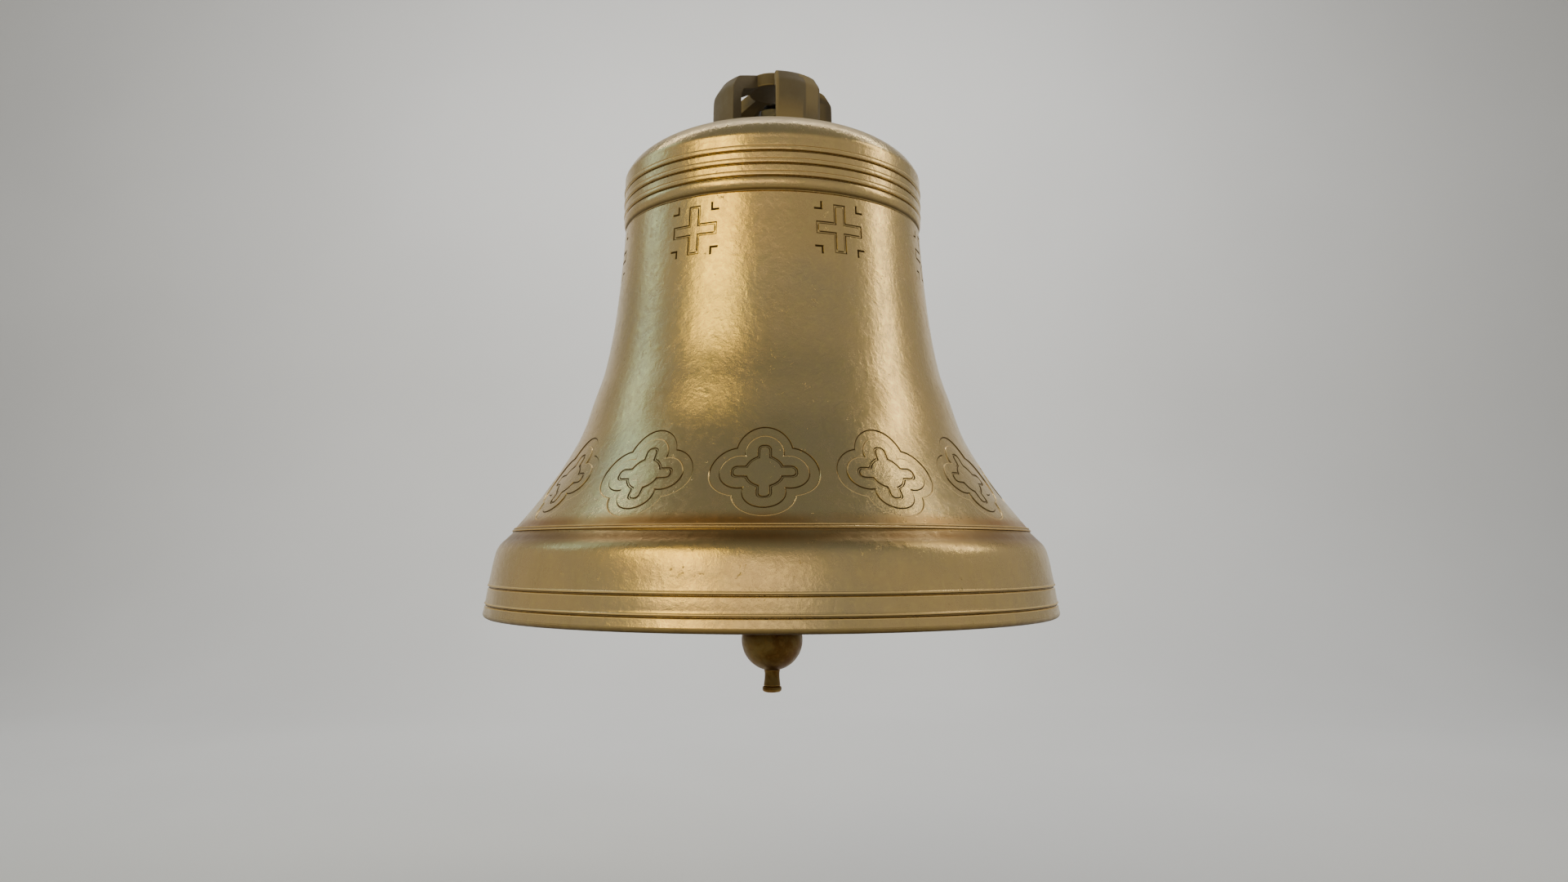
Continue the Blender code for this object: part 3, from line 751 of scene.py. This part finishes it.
def make_staple(steel, leather):
    """The staple with all that clamps it to the bell's head. Heights are the frame's."""
    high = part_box("crown_staple")[1]
    lock_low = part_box("staple_lock_nut")[0]
    plate_low, plate_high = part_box("staple_top_plate")
    shank, flange = 0.015, high.x
    flange_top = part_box("staple_inner_pad")[0].z - FIT
    flange_low = flange_top - 0.014
    pivot = PIVOT[2]

    pitch, thread_top = 0.0025, high.z - 0.003
    rows = [(0, high.z, 0.0), (shank - 0.003, high.z, -0.5),
            (shank - 0.0024, high.z - 0.0004, -0.5), (shank, high.z - 0.0026, -0.5)]
    rows += thread_rows(shank, pitch, lock_low.z, thread_top)
    rows += soften([(shank, lock_low.z), (shank, flange_top), (flange, flange_top),
                    (flange, flange_low), (0.038, flange_low), (0.034, flange_low - 0.010),
                    (0, flange_low - 0.010)], 0.0012, 0.0026)
    stem = lathe(rows, 64, edge=thread(shank, pitch, 0.0012, plate_high.z, thread_top))

    cheek, slot_top = 0.028, pivot + 0.040
    fork = arc(0, pivot, cheek, 180, 360, 32)
    fork += [(cheek, slot_top), (cheek + 0.001, pivot + 0.055), (0.036, flange_low + 0.002)]
    fork += [(-x, z) for x, z in fork[:-4:-1]]
    slot = [(-0.06, pivot - 0.05), (0.06, pivot - 0.05), (0.06, slot_top), (-0.06, slot_top)]
    block = combine(prism(fork, 2 * FORK_HALF), "DIFFERENCE", prism(slot, 2 * SLOT_HALF))
    ease_edges(block, 0.0016)
    lay = Matrix.Translation((0, 0, pivot)) @ Matrix.Rotation(math.pi / 2, 4, "X")
    bore = lathe([(0, 0.06, 0), (PIN_BORE, 0.06, 0), (PIN_BORE, -0.06, 0), (0, -0.06, 0)], 48)
    forging = combine(combine(stem, "UNION", block), "DIFFERENCE", placed(bore, lay))
    forged("staple_forging", forging, steel, "crown_staple", 20)

    inner = shank + FIT

    def uneven(angle, radius, height):
        wave = math.sin(3 * angle + 1) + 0.6 * math.sin(7 * angle) + 0.3 * math.sin(13 * angle + 2)
        return (radius - 0.0004 + 0.0002 * wave if radius > 0.03 else radius), height

    for name, node in (("inner_pad_leather", "staple_inner_pad"),
                       ("top_pad_leather", "staple_top_pad")):
        a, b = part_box(node)
        bulge = [(inner, b.z), (b.x - 0.0016, b.z), (b.x - 0.0003, b.z - 0.0009),
                 (b.x, (a.z + b.z) / 2), (b.x - 0.0003, a.z + 0.0009), (b.x - 0.0016, a.z),
                 (inner, a.z)]
        bm = lathe(soften(bulge, 0.0003, 0.0006, closed=True), 96, True, uneven)
        piece(name, bm, leather, "bell", "pad_leather", node)

    def square(angle, radius, height):
        half = plate_high.x
        if radius < half * 0.8:
            return radius, height
        reach = half / max(abs(math.cos(angle)), abs(math.sin(angle)))
        return min(reach, half * 1.25) - (half - radius), height

    plate = washer(inner, plate_high.x, plate_low.z, plate_high.z, 0.0012, 96, square)
    forged("top_plate_forged", plate, steel, "staple_top_plate", 25)
    for name, node in (("hex_nut", "staple_nut"), ("lock_hex_nut", "staple_lock_nut")):
        a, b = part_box(node)
        forged(name, nut(inner, 2 * b.y, a.z, b.z), steel, node, 25)
    split_pin("staple_cotter", "staple_split_pin", Matrix.Identity(3), steel)


def split_pin(name, node, turn, steel):
    """A split pin along X in the frame's box for it: an eye, two legs, ends bent apart.

    turn takes the pin's own side-to-side direction to the box's.
    """
    low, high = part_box(node)
    centre = (low + high) / 2
    spread = (turn.inverted() @ (high - low)).y / 2
    half = (high.x - low.x) / 2 - WIRE
    eye, legs = abs(spread) - WIRE, WIRE * 1.06
    wide = min(eye, 0.0040)
    middle = -half + wide
    loop = [(middle + wide * math.cos(a), wide * math.sin(a))
            for a in (math.radians(d) for d in range(40, 321, 14))]
    leg = [(middle + wide * 1.5, legs), (middle + wide * 2.2, legs), (half - 0.0060, legs),
           (half - 0.0040, legs + 0.0003), (half - 0.0022, legs + 0.0018), (half, abs(eye))]
    leg = smooth(leg, 4)
    path = leg[::-1] + loop + [(x, -side) for x, side in leg]
    points = [centre + turn @ Vector((x, side, 0)) for x, side in path]
    forged(name, tube(points, WIRE), steel, node, 50)


# ---------------------------------------------------------------- pivot pin

ALONG_Y = Matrix.Rotation(-math.pi / 2, 4, "X")     # lays a solid turned about Z along +Y


def make_pin(steel):
    """The clapper's pin, its washers, nut and split pin, turned upright and laid along Y."""
    pivot = Vector(PIVOT)
    lay = Matrix.Translation(pivot) @ ALONG_Y
    low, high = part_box("clapper_pin")
    nut_low, nut_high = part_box("pin_castle_nut")
    shank = 0.012
    head = low.y + 0.009
    pitch, thread_low, thread_top = 0.00175, nut_high.y - 0.001, high.y - 0.003
    rows = [(0, high.y, 0.0), (shank - 0.0024, high.y, -0.5), (shank, high.y - 0.0024, -0.5)]
    rows += thread_rows(shank, pitch, thread_low, thread_top)
    rows += soften([(shank, thread_low), (shank, head), (high.x, head), (high.x, low.y),
                    (0, low.y)], 0.0014, 0.003)
    bm = lathe(rows, 64, edge=thread(shank, pitch, 0.0009, thread_low, thread_top))
    forged("pivot_pin", placed(bm, lay), steel, "clapper_pin", 30)

    inner = shank + FIT
    for name, node in (("thrust_ring_front", "thrust_washer_front"),
                       ("thrust_ring_back", "thrust_washer_back"), ("pin_ring", "pin_washer")):
        a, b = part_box(node)
        forged(name, placed(washer(inner, b.x, a.y, b.y, 0.0005, 64), lay), steel, node)

    flats = min(2 * (nut_high.z - pivot.z), 0.036)
    plain = hexagon(flats, nut_low.y, nut_high.y)
    floor, half_slot = nut_high.y - 0.0065, 0.0021

    def castle(angle, radius, height):
        """A slot in the top of each flat, for the split pin."""
        angle += math.pi / 6
        r, z = plain(angle, radius, height)
        across = abs((angle % (math.pi / 3)) - math.pi / 6) * r
        return r, min(z, floor) if across < half_slot else z

    outer = flats / 2
    points = [(inner, nut_high.y - 0.001), (inner + 0.001, nut_high.y)]
    points += [(outer, nut_high.y - k * 0.0008) for k in range(4)]
    points += [(outer, floor + 0.0001), (outer, nut_low.y + 0.0024), (outer, nut_low.y + 0.0012),
               (outer, nut_low.y), (inner + 0.001, nut_low.y), (inner, nut_low.y + 0.001)]
    bm = lathe([(r, z, -0.4 if r == outer else 0.0) for r, z in points], 144, True, castle)
    forged("castle_nut", placed(bm, lay), steel, "pin_castle_nut", 25)
    split_pin("pin_cotter", "pin_split_pin", Matrix.Rotation(math.pi / 2, 3, "X"), steel)


# ---------------------------------------------------------------- clapper

def make_clapper(steel, bush_metal, metal):
    """The clapper's pieces. Outlines have their heights from the pin's axis, up being positive."""
    pivot = Vector(PIVOT)
    at_pivot = Matrix.Translation(pivot)

    def cast(name, points, segments, fillet, node, sharp=35):
        piece(name, placed(turned(points, segments, fillet), at_pivot), metal, "clapper",
              "clapper_bronze", node, sharp=sharp)

    bush_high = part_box("clapper_bush")[1]
    bush_outer, eye_half = bush_high.x, bush_high.y
    bush = washer(PIN_BORE, bush_outer, -eye_half, eye_half, 0.0008, 64)
    piece("eye_bush", placed(bush, at_pivot @ ALONG_Y), bush_metal, "clapper", "bush_bronze",
          "clapper_bush")

    ball_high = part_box("clapper_ball")[1]
    ball_radius = ball_high.x
    neck_top = ball_high.z - pivot.z
    ball_centre = neck_top - 0.024 - ball_radius
    stem = [(0, -0.024), (0.0200, -0.024), (0.0200, -0.045)]
    stem += smooth([(0.0172, -0.058), (0.0160, -0.072), (0.0152, -0.180), (0.0150, -0.300),
                    (0.0153, -0.440)], 6)
    stem += [(r, neck_top + rise) for r, rise in (
        (0.0160, 0.0220), (0.0172, 0.0165), (0.0185, 0.0150), (0.0190, 0.0105), (0.0185, 0.0060),
        (0.0165, 0.0040), (0.0130, 0.0010), (0.0120, -0.0050), (0, -0.0050))]
    eye = [(0, eye_half), (0.0302, eye_half), (0.0315, eye_half - 0.0006),
           (0.0320, eye_half - 0.0022)]
    eye += [(r, -z) for r, z in eye[::-1]]
    hole = bush_outer + FIT
    bore = turned([(0, 0.04), (hole, 0.04), (hole, -0.04), (0, -0.04)], 96, 0.0002)
    bar = combine(turned(stem, 64, 0.0008), "UNION", placed(turned(eye, 96, 0.0004), ALONG_Y))
    bar = combine(bar, "DIFFERENCE", placed(bore, ALONG_Y))
    piece("clapper_forging", placed(bar, at_pivot), steel, "clapper", "forged_steel",
          "clapper_shaft", sharp=30)

    neck = 0.0200
    lift = math.degrees(math.acos((neck + 0.0022) / ball_radius))
    base = -math.degrees(math.acos(0.0150 / ball_radius))
    sphere = arc(0, ball_centre, ball_radius, lift, base, 40)
    throat, foot = sphere[0][1], sphere[-1][1] - 0.0003
    ball = [(0, neck_top), (neck, neck_top), (neck, throat + 0.0030),
            (neck + 0.0006, throat + 0.0012), *sphere, (0.0138, foot), (0, foot)]
    cast("ball_casting", ball, 96, 0.0012, "clapper_ball", 40)
    low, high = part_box("ball_lock_pin")
    lock = turned([(0, high.y), (high.x, high.y), (high.x, low.y), (0, low.y)], 24, 0.0008)
    lock = placed(lock, Matrix.Translation((0, 0, (low.z + high.z) / 2)) @ ALONG_Y)
    piece("ball_cross_pin", lock, steel, "clapper", "forged_steel", "ball_lock_pin")

    low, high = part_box("clapper_flight")
    top, foot = high.z - pivot.z, low.z - pivot.z
    waist = smooth([(0.0126, top - 0.0015), (0.0119, top - 0.0060), (0.0122, top - 0.0140),
                    (0.0130, foot + 0.0040), (high.x, foot + 0.0016)], 4)
    flight = [(0, top), (0.0128, top), *waist, (0.0128, foot), (0, foot)]
    cast("flight_casting", flight, 64, 0.0004, "clapper_flight")
    low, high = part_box("clapper_end_collar")
    top, foot, rim = high.z - pivot.z, low.z - pivot.z, high.x
    collar = [(0, top), (rim - 0.0018, top), (rim - 0.0004, top - 0.0008), (rim, top - 0.0024),
              (rim, foot + 0.0042), (rim - 0.0008, foot + 0.0020), (rim - 0.0030, foot + 0.0006),
              (rim - 0.0064, foot), (0, foot)]
    cast("end_collar_casting", collar, 64, 0.0005, "clapper_end_collar")


# ---------------------------------------------------------------- materials

class Graph:
    """Builds a material's nodes around its Principled shader. Places are in metres."""

    def __init__(self, name, metallic):
        self.material = bpy.data.materials.new(name)
        self.material.use_nodes = True
        self.tree = self.material.node_tree
        self.shader = self.tree.nodes["Principled BSDF"]
        self.shader.inputs["Metallic"].default_value = metallic
        self.place = self.add("ShaderNodeTexCoord", {}).outputs["Object"]

    def add(self, kind, inputs, **settings):
        node = self.tree.nodes.new(kind)
        for key, value in settings.items():
            setattr(node, key, value)
        for key, value in inputs.items():
            if isinstance(value, bpy.types.NodeSocket):
                self.tree.links.new(value, node.inputs[key])
            else:
                node.inputs[key].default_value = value
        return node

    def noise(self, scale, detail=4.0, rough=0.5, distortion=0.0, place=None):
        return self.add("ShaderNodeTexNoise", {
            "Vector": place or self.place, "Scale": scale, "Detail": detail,
            "Roughness": rough, "Distortion": distortion}).outputs[0]

    def stretched(self, x, y, z):
        return self.math("MULTIPLY", self.place, (x, y, z), vector=True)

    def band(self, value, low, high, start=0.0, end=1.0):
        """A smooth step: start below low, end above high."""
        return self.add("ShaderNodeMapRange", {
            "Value": value, "From Min": low, "From Max": high, "To Min": start,
            "To Max": end}, interpolation_type="SMOOTHSTEP").outputs[0]

    def math(self, operation, a, b=0.0, vector=False):
        kind = "ShaderNodeVectorMath" if vector else "ShaderNodeMath"
        return self.add(kind, {0: a, 1: b}, operation=operation).outputs[0]

    def times(self, a, b):
        return self.math("MULTIPLY", a, b)

    def plus(self, a, b):
        return self.math("ADD", a, b)

    def most(self, a, b):
        return self.math("MAXIMUM", a, b)

    def near(self, value, centre, reach):
        """1 at the centre, fading to 0 a reach away."""
        away = self.math("ABSOLUTE", self.math("SUBTRACT", value, centre))
        return self.band(away, 0.0, reach, 1.0, 0.0)

    def blend(self, amount, a, b):
        a, b = ((*c, 1.0) if isinstance(c, tuple) else c for c in (a, b))
        return self.add("ShaderNodeMix", {0: amount, 6: a, 7: b}, data_type="RGBA").outputs[2]

    def attribute(self, name):
        return self.add("ShaderNodeAttribute", {}, attribute_name=name).outputs["Fac"]

    def layered(self, colour, *layers):
        """Lays tints over a colour. A layer is its mask, its strength and its tint."""
        for mask, strength, tint in layers:
            colour = self.blend(self.times(mask, strength), colour, tint)
        return colour

    def added(self, value, *parts):
        """Adds to a value. A part is another value and its share."""
        for part, share in parts:
            value = self.plus(value, self.times(part, share))
        return value

    def height(self, level):
        split = self.add("ShaderNodeSeparateXYZ", {0: self.place})
        return self.math("SUBTRACT", split.outputs[2], level)

    def finish(self, colour, roughness, relief, distance, strength=1.0):
        self.tree.links.new(colour, self.shader.inputs["Base Color"])
        self.tree.links.new(roughness, self.shader.inputs["Roughness"])
        bump = self.add("ShaderNodeBump", {"Height": relief, "Distance": distance,
                                           "Strength": strength})
        self.tree.links.new(bump.outputs[0], self.shader.inputs["Normal"])
        return self.material


HEAD_FADE = (0.712, 0.755)     # heights between which the skin turns as dull as the head


def bell_bronze(name, crown=0.0):
    """Old bell metal: golden where it is handled, olive and brown where it isn't.

    crown is 1 for the dull, dark metal of the crown.
    """
    g = Graph(name, 1.0 - 0.80 * crown)
    large = g.noise(3.4, 3.0, 0.5, 0.4)
    cloud = g.noise(17.0, 6.0, 0.62, 0.3)
    mottle = g.noise(62.0, 8.0, 0.60, 0.35)
    flecks = g.noise(125.0, 5.0, 0.62, 0.6)
    fine = g.noise(230.0, 5.0, 0.6)
    streak = g.noise(34.0, 5.0, 0.6, 0.2, g.stretched(1, 1, 0.09))
    clusters = g.band(g.noise(13.0, 3.0, 0.5), 0.46, 0.64)
    specks = g.times(g.band(g.noise(88.0, 9.0, 0.72, 0.5), 0.615, 0.675), clusters)
    mark = g.attribute("mark")
    # Dark paint where the mark is high: dirt, and painted shade in hollows, in the ornament's
    # grooves and under the mouldings. Light paint where it is low: wear, and a painted highlight on
    # ring tops and the ornament's up-facing walls.
    dirt_and_shade = g.band(mark, 0.30, 0.85)
    wear_and_highlight = g.band(mark, -0.15, -0.75)
    inside = g.attribute("inside")
    height = g.height(LIP)
    head = g.band(height, *HEAD_FADE)
    above_foot = g.times(g.near(height, 0.1385, 0.016), g.band(large, 0.62, 0.40, 0.15, 1.0))
    below_foot = g.times(g.near(height, 0.1190, 0.020), g.band(large, 0.68, 0.42, 0.50, 1.0))
    hollow = g.blend(g.band(cloud, 0.30, 0.70), (0.12, 0.070, 0.026), (0.19, 0.118, 0.045))

    gold, olive = (0.80, 0.545, 0.225), (0.61, 0.470, 0.245)
    colour = g.layered(
        g.blend(g.band(large, 0.30, 0.70), gold, olive),
        (g.band(cloud, 0.30, 0.75), 0.26, (0.54, 0.39, 0.16)),
        (g.band(mottle, 0.36, 0.72), 0.24, (0.92, 0.67, 0.21)),
        (g.band(flecks, 0.50, 0.64), 0.16, (1.0, 0.78, 0.26)),
        (g.band(streak, 0.50, 0.76), 0.24, (0.50, 0.36, 0.15)),
        (specks, 0.45, (0.27, 0.18, 0.065)),
        (above_foot, 0.85, (0.36, 0.15, 0.025)),
        (below_foot, 0.90, (0.22, 0.105, 0.024)),
        (head, 0.70, (0.31, 0.26, 0.17)))
    colour = g.blend(0.82 * crown, colour, (0.135, 0.106, 0.062))
    # Painted shade and dirt darken the marked hollows; painted highlight and wear lighten the
    # marked edges.
    colour = g.layered(
        colour,
        (dirt_and_shade, 0.95, (0.050, 0.027, 0.007)),
        (wear_and_highlight, 0.80 - 0.60 * crown, (1.0, 0.77, 0.38)),
        (inside, 0.80, hollow))

    rough = g.plus(g.band(mottle, 0.30, 0.70, 0.26, 0.19), g.band(flecks, 0.40, 0.64, 0.02, -0.03))
    rough = g.plus(rough, g.band(cloud, 0.35, 0.70, 0.0, 0.04))
    rough = g.added(rough, (head, 0.32), (specks, 0.16), (g.most(above_foot, below_foot), 0.12),
                    (dirt_and_shade, 0.35), (wear_and_highlight, 0.45), (inside, 0.34))
    rough = g.plus(rough, 0.12 * crown)

    relief = g.added(g.times(mottle, 0.90), (fine, 0.06), (flecks, 0.55), (cloud, 0.60),
                     (specks, -0.30))
    relief = g.times(relief, g.band(height, *HEAD_FADE, 1.0, 0.25))
    turning = g.noise(1.0, 2.0, 0.5, 0.0, g.stretched(0.0, 0.0, 900.0))
    relief = g.plus(relief, g.times(turning, g.times(inside, 0.5)))
    return g.finish(colour, rough, relief, 0.0009, 0.60)


def clapper_bronze():
    g = Graph("aged_and_shaded_clapper_bronze", 1.0)
    cloud = g.noise(26.0, 5.0, 0.6, 0.4)
    mottle = g.noise(110.0, 8.0, 0.62, 0.3)
    mark = g.attribute("mark")
    # The base colours are kept dark partly as its own brown patina, partly as painted shade for the
    # clapper hanging in the bell's shadow.
    brown, olive, gold = (0.13, 0.062, 0.016), (0.20, 0.135, 0.045), (0.62, 0.36, 0.11)
    colour = g.layered(
        g.blend(g.band(cloud, 0.38, 0.62), brown, olive),
        (g.band(mottle, 0.48, 0.66), 0.45, (0.30, 0.17, 0.05)),
        # Marked hollows are darkened as dirt and painted shade, proud edges lightened as wear.
        (g.band(mark, 0.05, 0.7), 0.9, (0.06, 0.03, 0.012)),
        (g.band(mark, -0.05, -0.8), 0.8, gold))
    rough = g.band(mottle, 0.36, 0.66, 0.34, 0.52)
    return g.finish(colour, rough, g.added(mottle, (cloud, 0.8)), 0.0006, 0.5)


def bush_bronze():
    g = Graph("turned_bush_bronze", 1.0)
    lines = g.noise(1.0, 3.0, 0.6, 0.0, g.stretched(30.0, 2600.0, 30.0))
    film = g.noise(120.0, 5.0, 0.6)
    colour = g.layered(
        g.blend(g.band(film, 0.4, 0.65), (0.80, 0.52, 0.22), (0.45, 0.28, 0.11)),
        (g.band(lines, 0.5, 0.7), 0.3, (0.25, 0.15, 0.06)))
    return g.finish(colour, g.band(film, 0.3, 0.7, 0.24, 0.42), lines, 0.0001, 0.4)


def forged_steel():
    """Black forging scale, darkened further as painted shade, a little rust in it, bare where the
    edges rub.
    """
    g = Graph("oiled_and_shaded_forged_steel", 1.0)
    scale = g.noise(70.0, 7.0, 0.62, 0.4)
    pits = g.noise(260.0, 6.0, 0.6)
    rust = g.times(g.band(g.noise(38.0, 6.0, 0.65, 0.6), 0.52, 0.64), g.band(pits, 0.4, 0.6))
    mark = g.attribute("mark")
    # The scale's colours are kept very dark partly as painted shade, for the steel in the crown's
    # shadow; marked hollows are darkened as dirt and painted shade.
    colour = g.layered(
        g.blend(g.band(scale, 0.38, 0.64), (0.024, 0.023, 0.023), (0.058, 0.054, 0.050)),
        (rust, 0.55, (0.12, 0.045, 0.016)),
        (g.band(mark, -0.05, -0.8), 0.7, (0.17, 0.16, 0.15)),
        (g.band(mark, 0.05, 0.8), 0.8, (0.02, 0.014, 0.010)))
    rough = g.added(g.band(scale, 0.35, 0.65, 0.38, 0.56), (rust, 0.25))
    relief = g.added(g.times(scale, 1.2), (pits, 0.35))
    return g.finish(colour, rough, relief, 0.0006, 0.6)


def pad_leather():
    g = Graph("greased_pad_leather", 0.0)
    cells = g.add("ShaderNodeTexVoronoi", {"Vector": g.place, "Scale": 620.0},
                  feature="DISTANCE_TO_EDGE").outputs[0]
    creases = g.band(cells, 0.0, 0.12, 1.0, 0.0)
    stain = g.noise(55.0, 6.0, 0.6)
    fibre = g.noise(1.0, 4.0, 0.6, 0.0, g.stretched(250.0, 250.0, 1600.0))
    colour = g.layered(
        g.blend(g.band(stain, 0.38, 0.64), (0.085, 0.042, 0.020), (0.034, 0.018, 0.011)),
        (creases, 0.6, (0.014, 0.008, 0.005)),
        (g.band(g.attribute("mark"), -0.05, -0.8), 0.4, (0.16, 0.088, 0.045)))
    relief = g.added(g.times(g.math("SUBTRACT", 1.0, creases), 0.8), (fibre, 0.3))
    return g.finish(colour, g.band(stain, 0.3, 0.7, 0.70, 0.48), relief, 0.0003, 0.7)


def studio_floor():
    g = Graph("studio_floor", 0.0)
    tone = g.noise(0.7, 3.0, 0.5)
    grain = g.noise(900.0, 2.0, 0.5)
    colour = g.blend(g.band(tone, 0.3, 0.7), (0.70, 0.695, 0.68), (0.74, 0.735, 0.72))
    return g.finish(colour, g.band(grain, 0.3, 0.7, 0.60, 0.70), grain, 0.0001, 0.1)


# ---------------------------------------------------------------- studio

def make_stage(look):
    """A pale floor that sweeps up behind the bell, as seen from the camera."""
    floor, front, back, tall, width = LIP - 0.560, 7.0, 4.2, 4.4, 14.0
    bend, steps = 1.6, 32
    profile = [(-front, floor), (0.0, floor), *arc(back - bend, floor + bend, bend, -90, 0, 24),
               (back, floor + tall)]
    bm = bmesh.new()
    lines = []
    for k in range(steps + 1):
        x = width * (k / steps - 0.5)
        lines.append([bm.verts.new((x, y, z)) for y, z in profile])
    for here, there in zip(lines, lines[1:]):
        for j in range(len(profile) - 1):
            bm.faces.new((here[j], here[j + 1], there[j + 1], there[j]))
    placed(bm, Matrix.Rotation(CAMERA_TURN, 4, "Z"))
    from_bmesh("studio_sweep", bm, look, 60)

    # A round wall that only the camera sees, so that the other sides have a plain ground too.
    reach, top = 8.5, floor + 12.0
    foot = floor + 0.001
    curve = [*arc(reach - bend, foot + bend, bend, -90, 0, 24), (reach, top)]
    wall = from_bmesh("studio_wall", lathe([(r, z, 0.0) for r, z in curve], 96), look, 60)
    wall.visible_diffuse = wall.visible_glossy = wall.visible_shadow = False


def area_light(name, width, tall, energy):
    light = bpy.data.lights.new(name, "AREA")
    light.shape, light.size, light.size_y, light.energy = "RECTANGLE", width, tall, energy
    made = link(name, light)
    made.visible_camera = False
    return made


def softbox(name, turn, rise, distance, width, tall, radiance, colour):
    """A soft light at a bearing round from the camera and an elevation, aimed at the bell."""
    made = area_light(name, width, tall, radiance * math.pi * width * tall)
    made.data.color = colour
    bearing = CAMERA_TURN + math.radians(turn)
    elevation = math.radians(rise)
    aim = Vector((0, 0, LIP + 0.40))
    away = Vector((math.sin(bearing) * math.cos(elevation),
                   -math.cos(bearing) * math.cos(elevation), math.sin(elevation)))
    made.location = aim + away * distance
    made.rotation_euler = away.to_track_quat("Z", "Y").to_euler()


def make_lights():
    """Softboxes in front and at the sides, a lamp on the sweep, and a sky dimmer overhead."""
    softbox("key_warm", -40, 25, 2.9, 1.5, 0.80, 3.5, (1.0, 0.78, 0.14))
    softbox("key_low", -34, 14, 2.9, 0.7, 0.40, 3.2, (1.0, 0.78, 0.16))
    softbox("side_left", -98, 35, 2.7, 0.8, 1.3, 1.15, (0.45, 0.80, 1.0))
    softbox("side_right", 86, 34, 2.7, 0.6, 1.4, 3.3, (1.0, 0.90, 0.66))
    softbox("low_front", -16, 12, 3.2, 3.4, 0.7, 1.0, (1.0, 0.82, 0.56))

    turn, tilt = Matrix.Rotation(CAMERA_TURN, 4, "Z"), Matrix.Rotation(math.radians(52), 4, "X")
    lamp = area_light("sweep_lamp", 5.0, 0.8, 150.0)
    lamp.matrix_world = turn @ Matrix.Translation((0, 1.1, 2.2)) @ tilt

    world = bpy.data.worlds.new("studio")
    bpy.context.scene.world = world
    world.use_nodes = True
    tree = world.node_tree
    direction = tree.nodes.new("ShaderNodeTexCoord")
    split = tree.nodes.new("ShaderNodeSeparateXYZ")
    fade = tree.nodes.new("ShaderNodeMapRange")
    fade.interpolation_type = "SMOOTHSTEP"
    for socket, value in (("From Min", 0.30), ("From Max", 0.92)):
        fade.inputs[socket].default_value = value
    shade = tree.nodes.new("ShaderNodeMix")
    shade.data_type = "RGBA"
    shade.inputs[6].default_value = (0.38, 0.370, 0.345, 1.0)
    shade.inputs[7].default_value = (0.185, 0.205, 0.225, 1.0)
    tree.links.new(direction.outputs["Generated"], split.inputs[0])
    tree.links.new(split.outputs[2], fade.inputs["Value"])
    tree.links.new(fade.outputs[0], shade.inputs[0])
    tree.links.new(shade.outputs[2], tree.nodes["Background"].inputs["Color"])


def make_camera():
    camera = bpy.data.cameras.new("camera")
    camera.sensor_width = 36.0
    camera.lens = 18.0 / (math.tan(CAMERA_FIELD / 2) * 16 / 9)
    made = link("camera", camera)
    made.location = (CAMERA_DISTANCE * math.sin(CAMERA_TURN),
                     -CAMERA_DISTANCE * math.cos(CAMERA_TURN), LIP + CAMERA_HEIGHT)
    made.rotation_euler = (math.pi / 2 + CAMERA_PITCH, 0, CAMERA_TURN - CAMERA_YAW)
    bpy.context.scene.camera = made


def main():
    steel = forged_steel()
    bell = make_bell(bell_bronze("aged_bell_bronze"))
    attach(bell, "bell")
    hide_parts("bell_body")
    make_crown(bell_bronze("aged_crown_bronze", 1.0))
    make_staple(steel, pad_leather())
    make_pin(steel)
    make_clapper(steel, bush_bronze(), clapper_bronze())
    make_stage(studio_floor())
    make_lights()
    make_camera()


main()
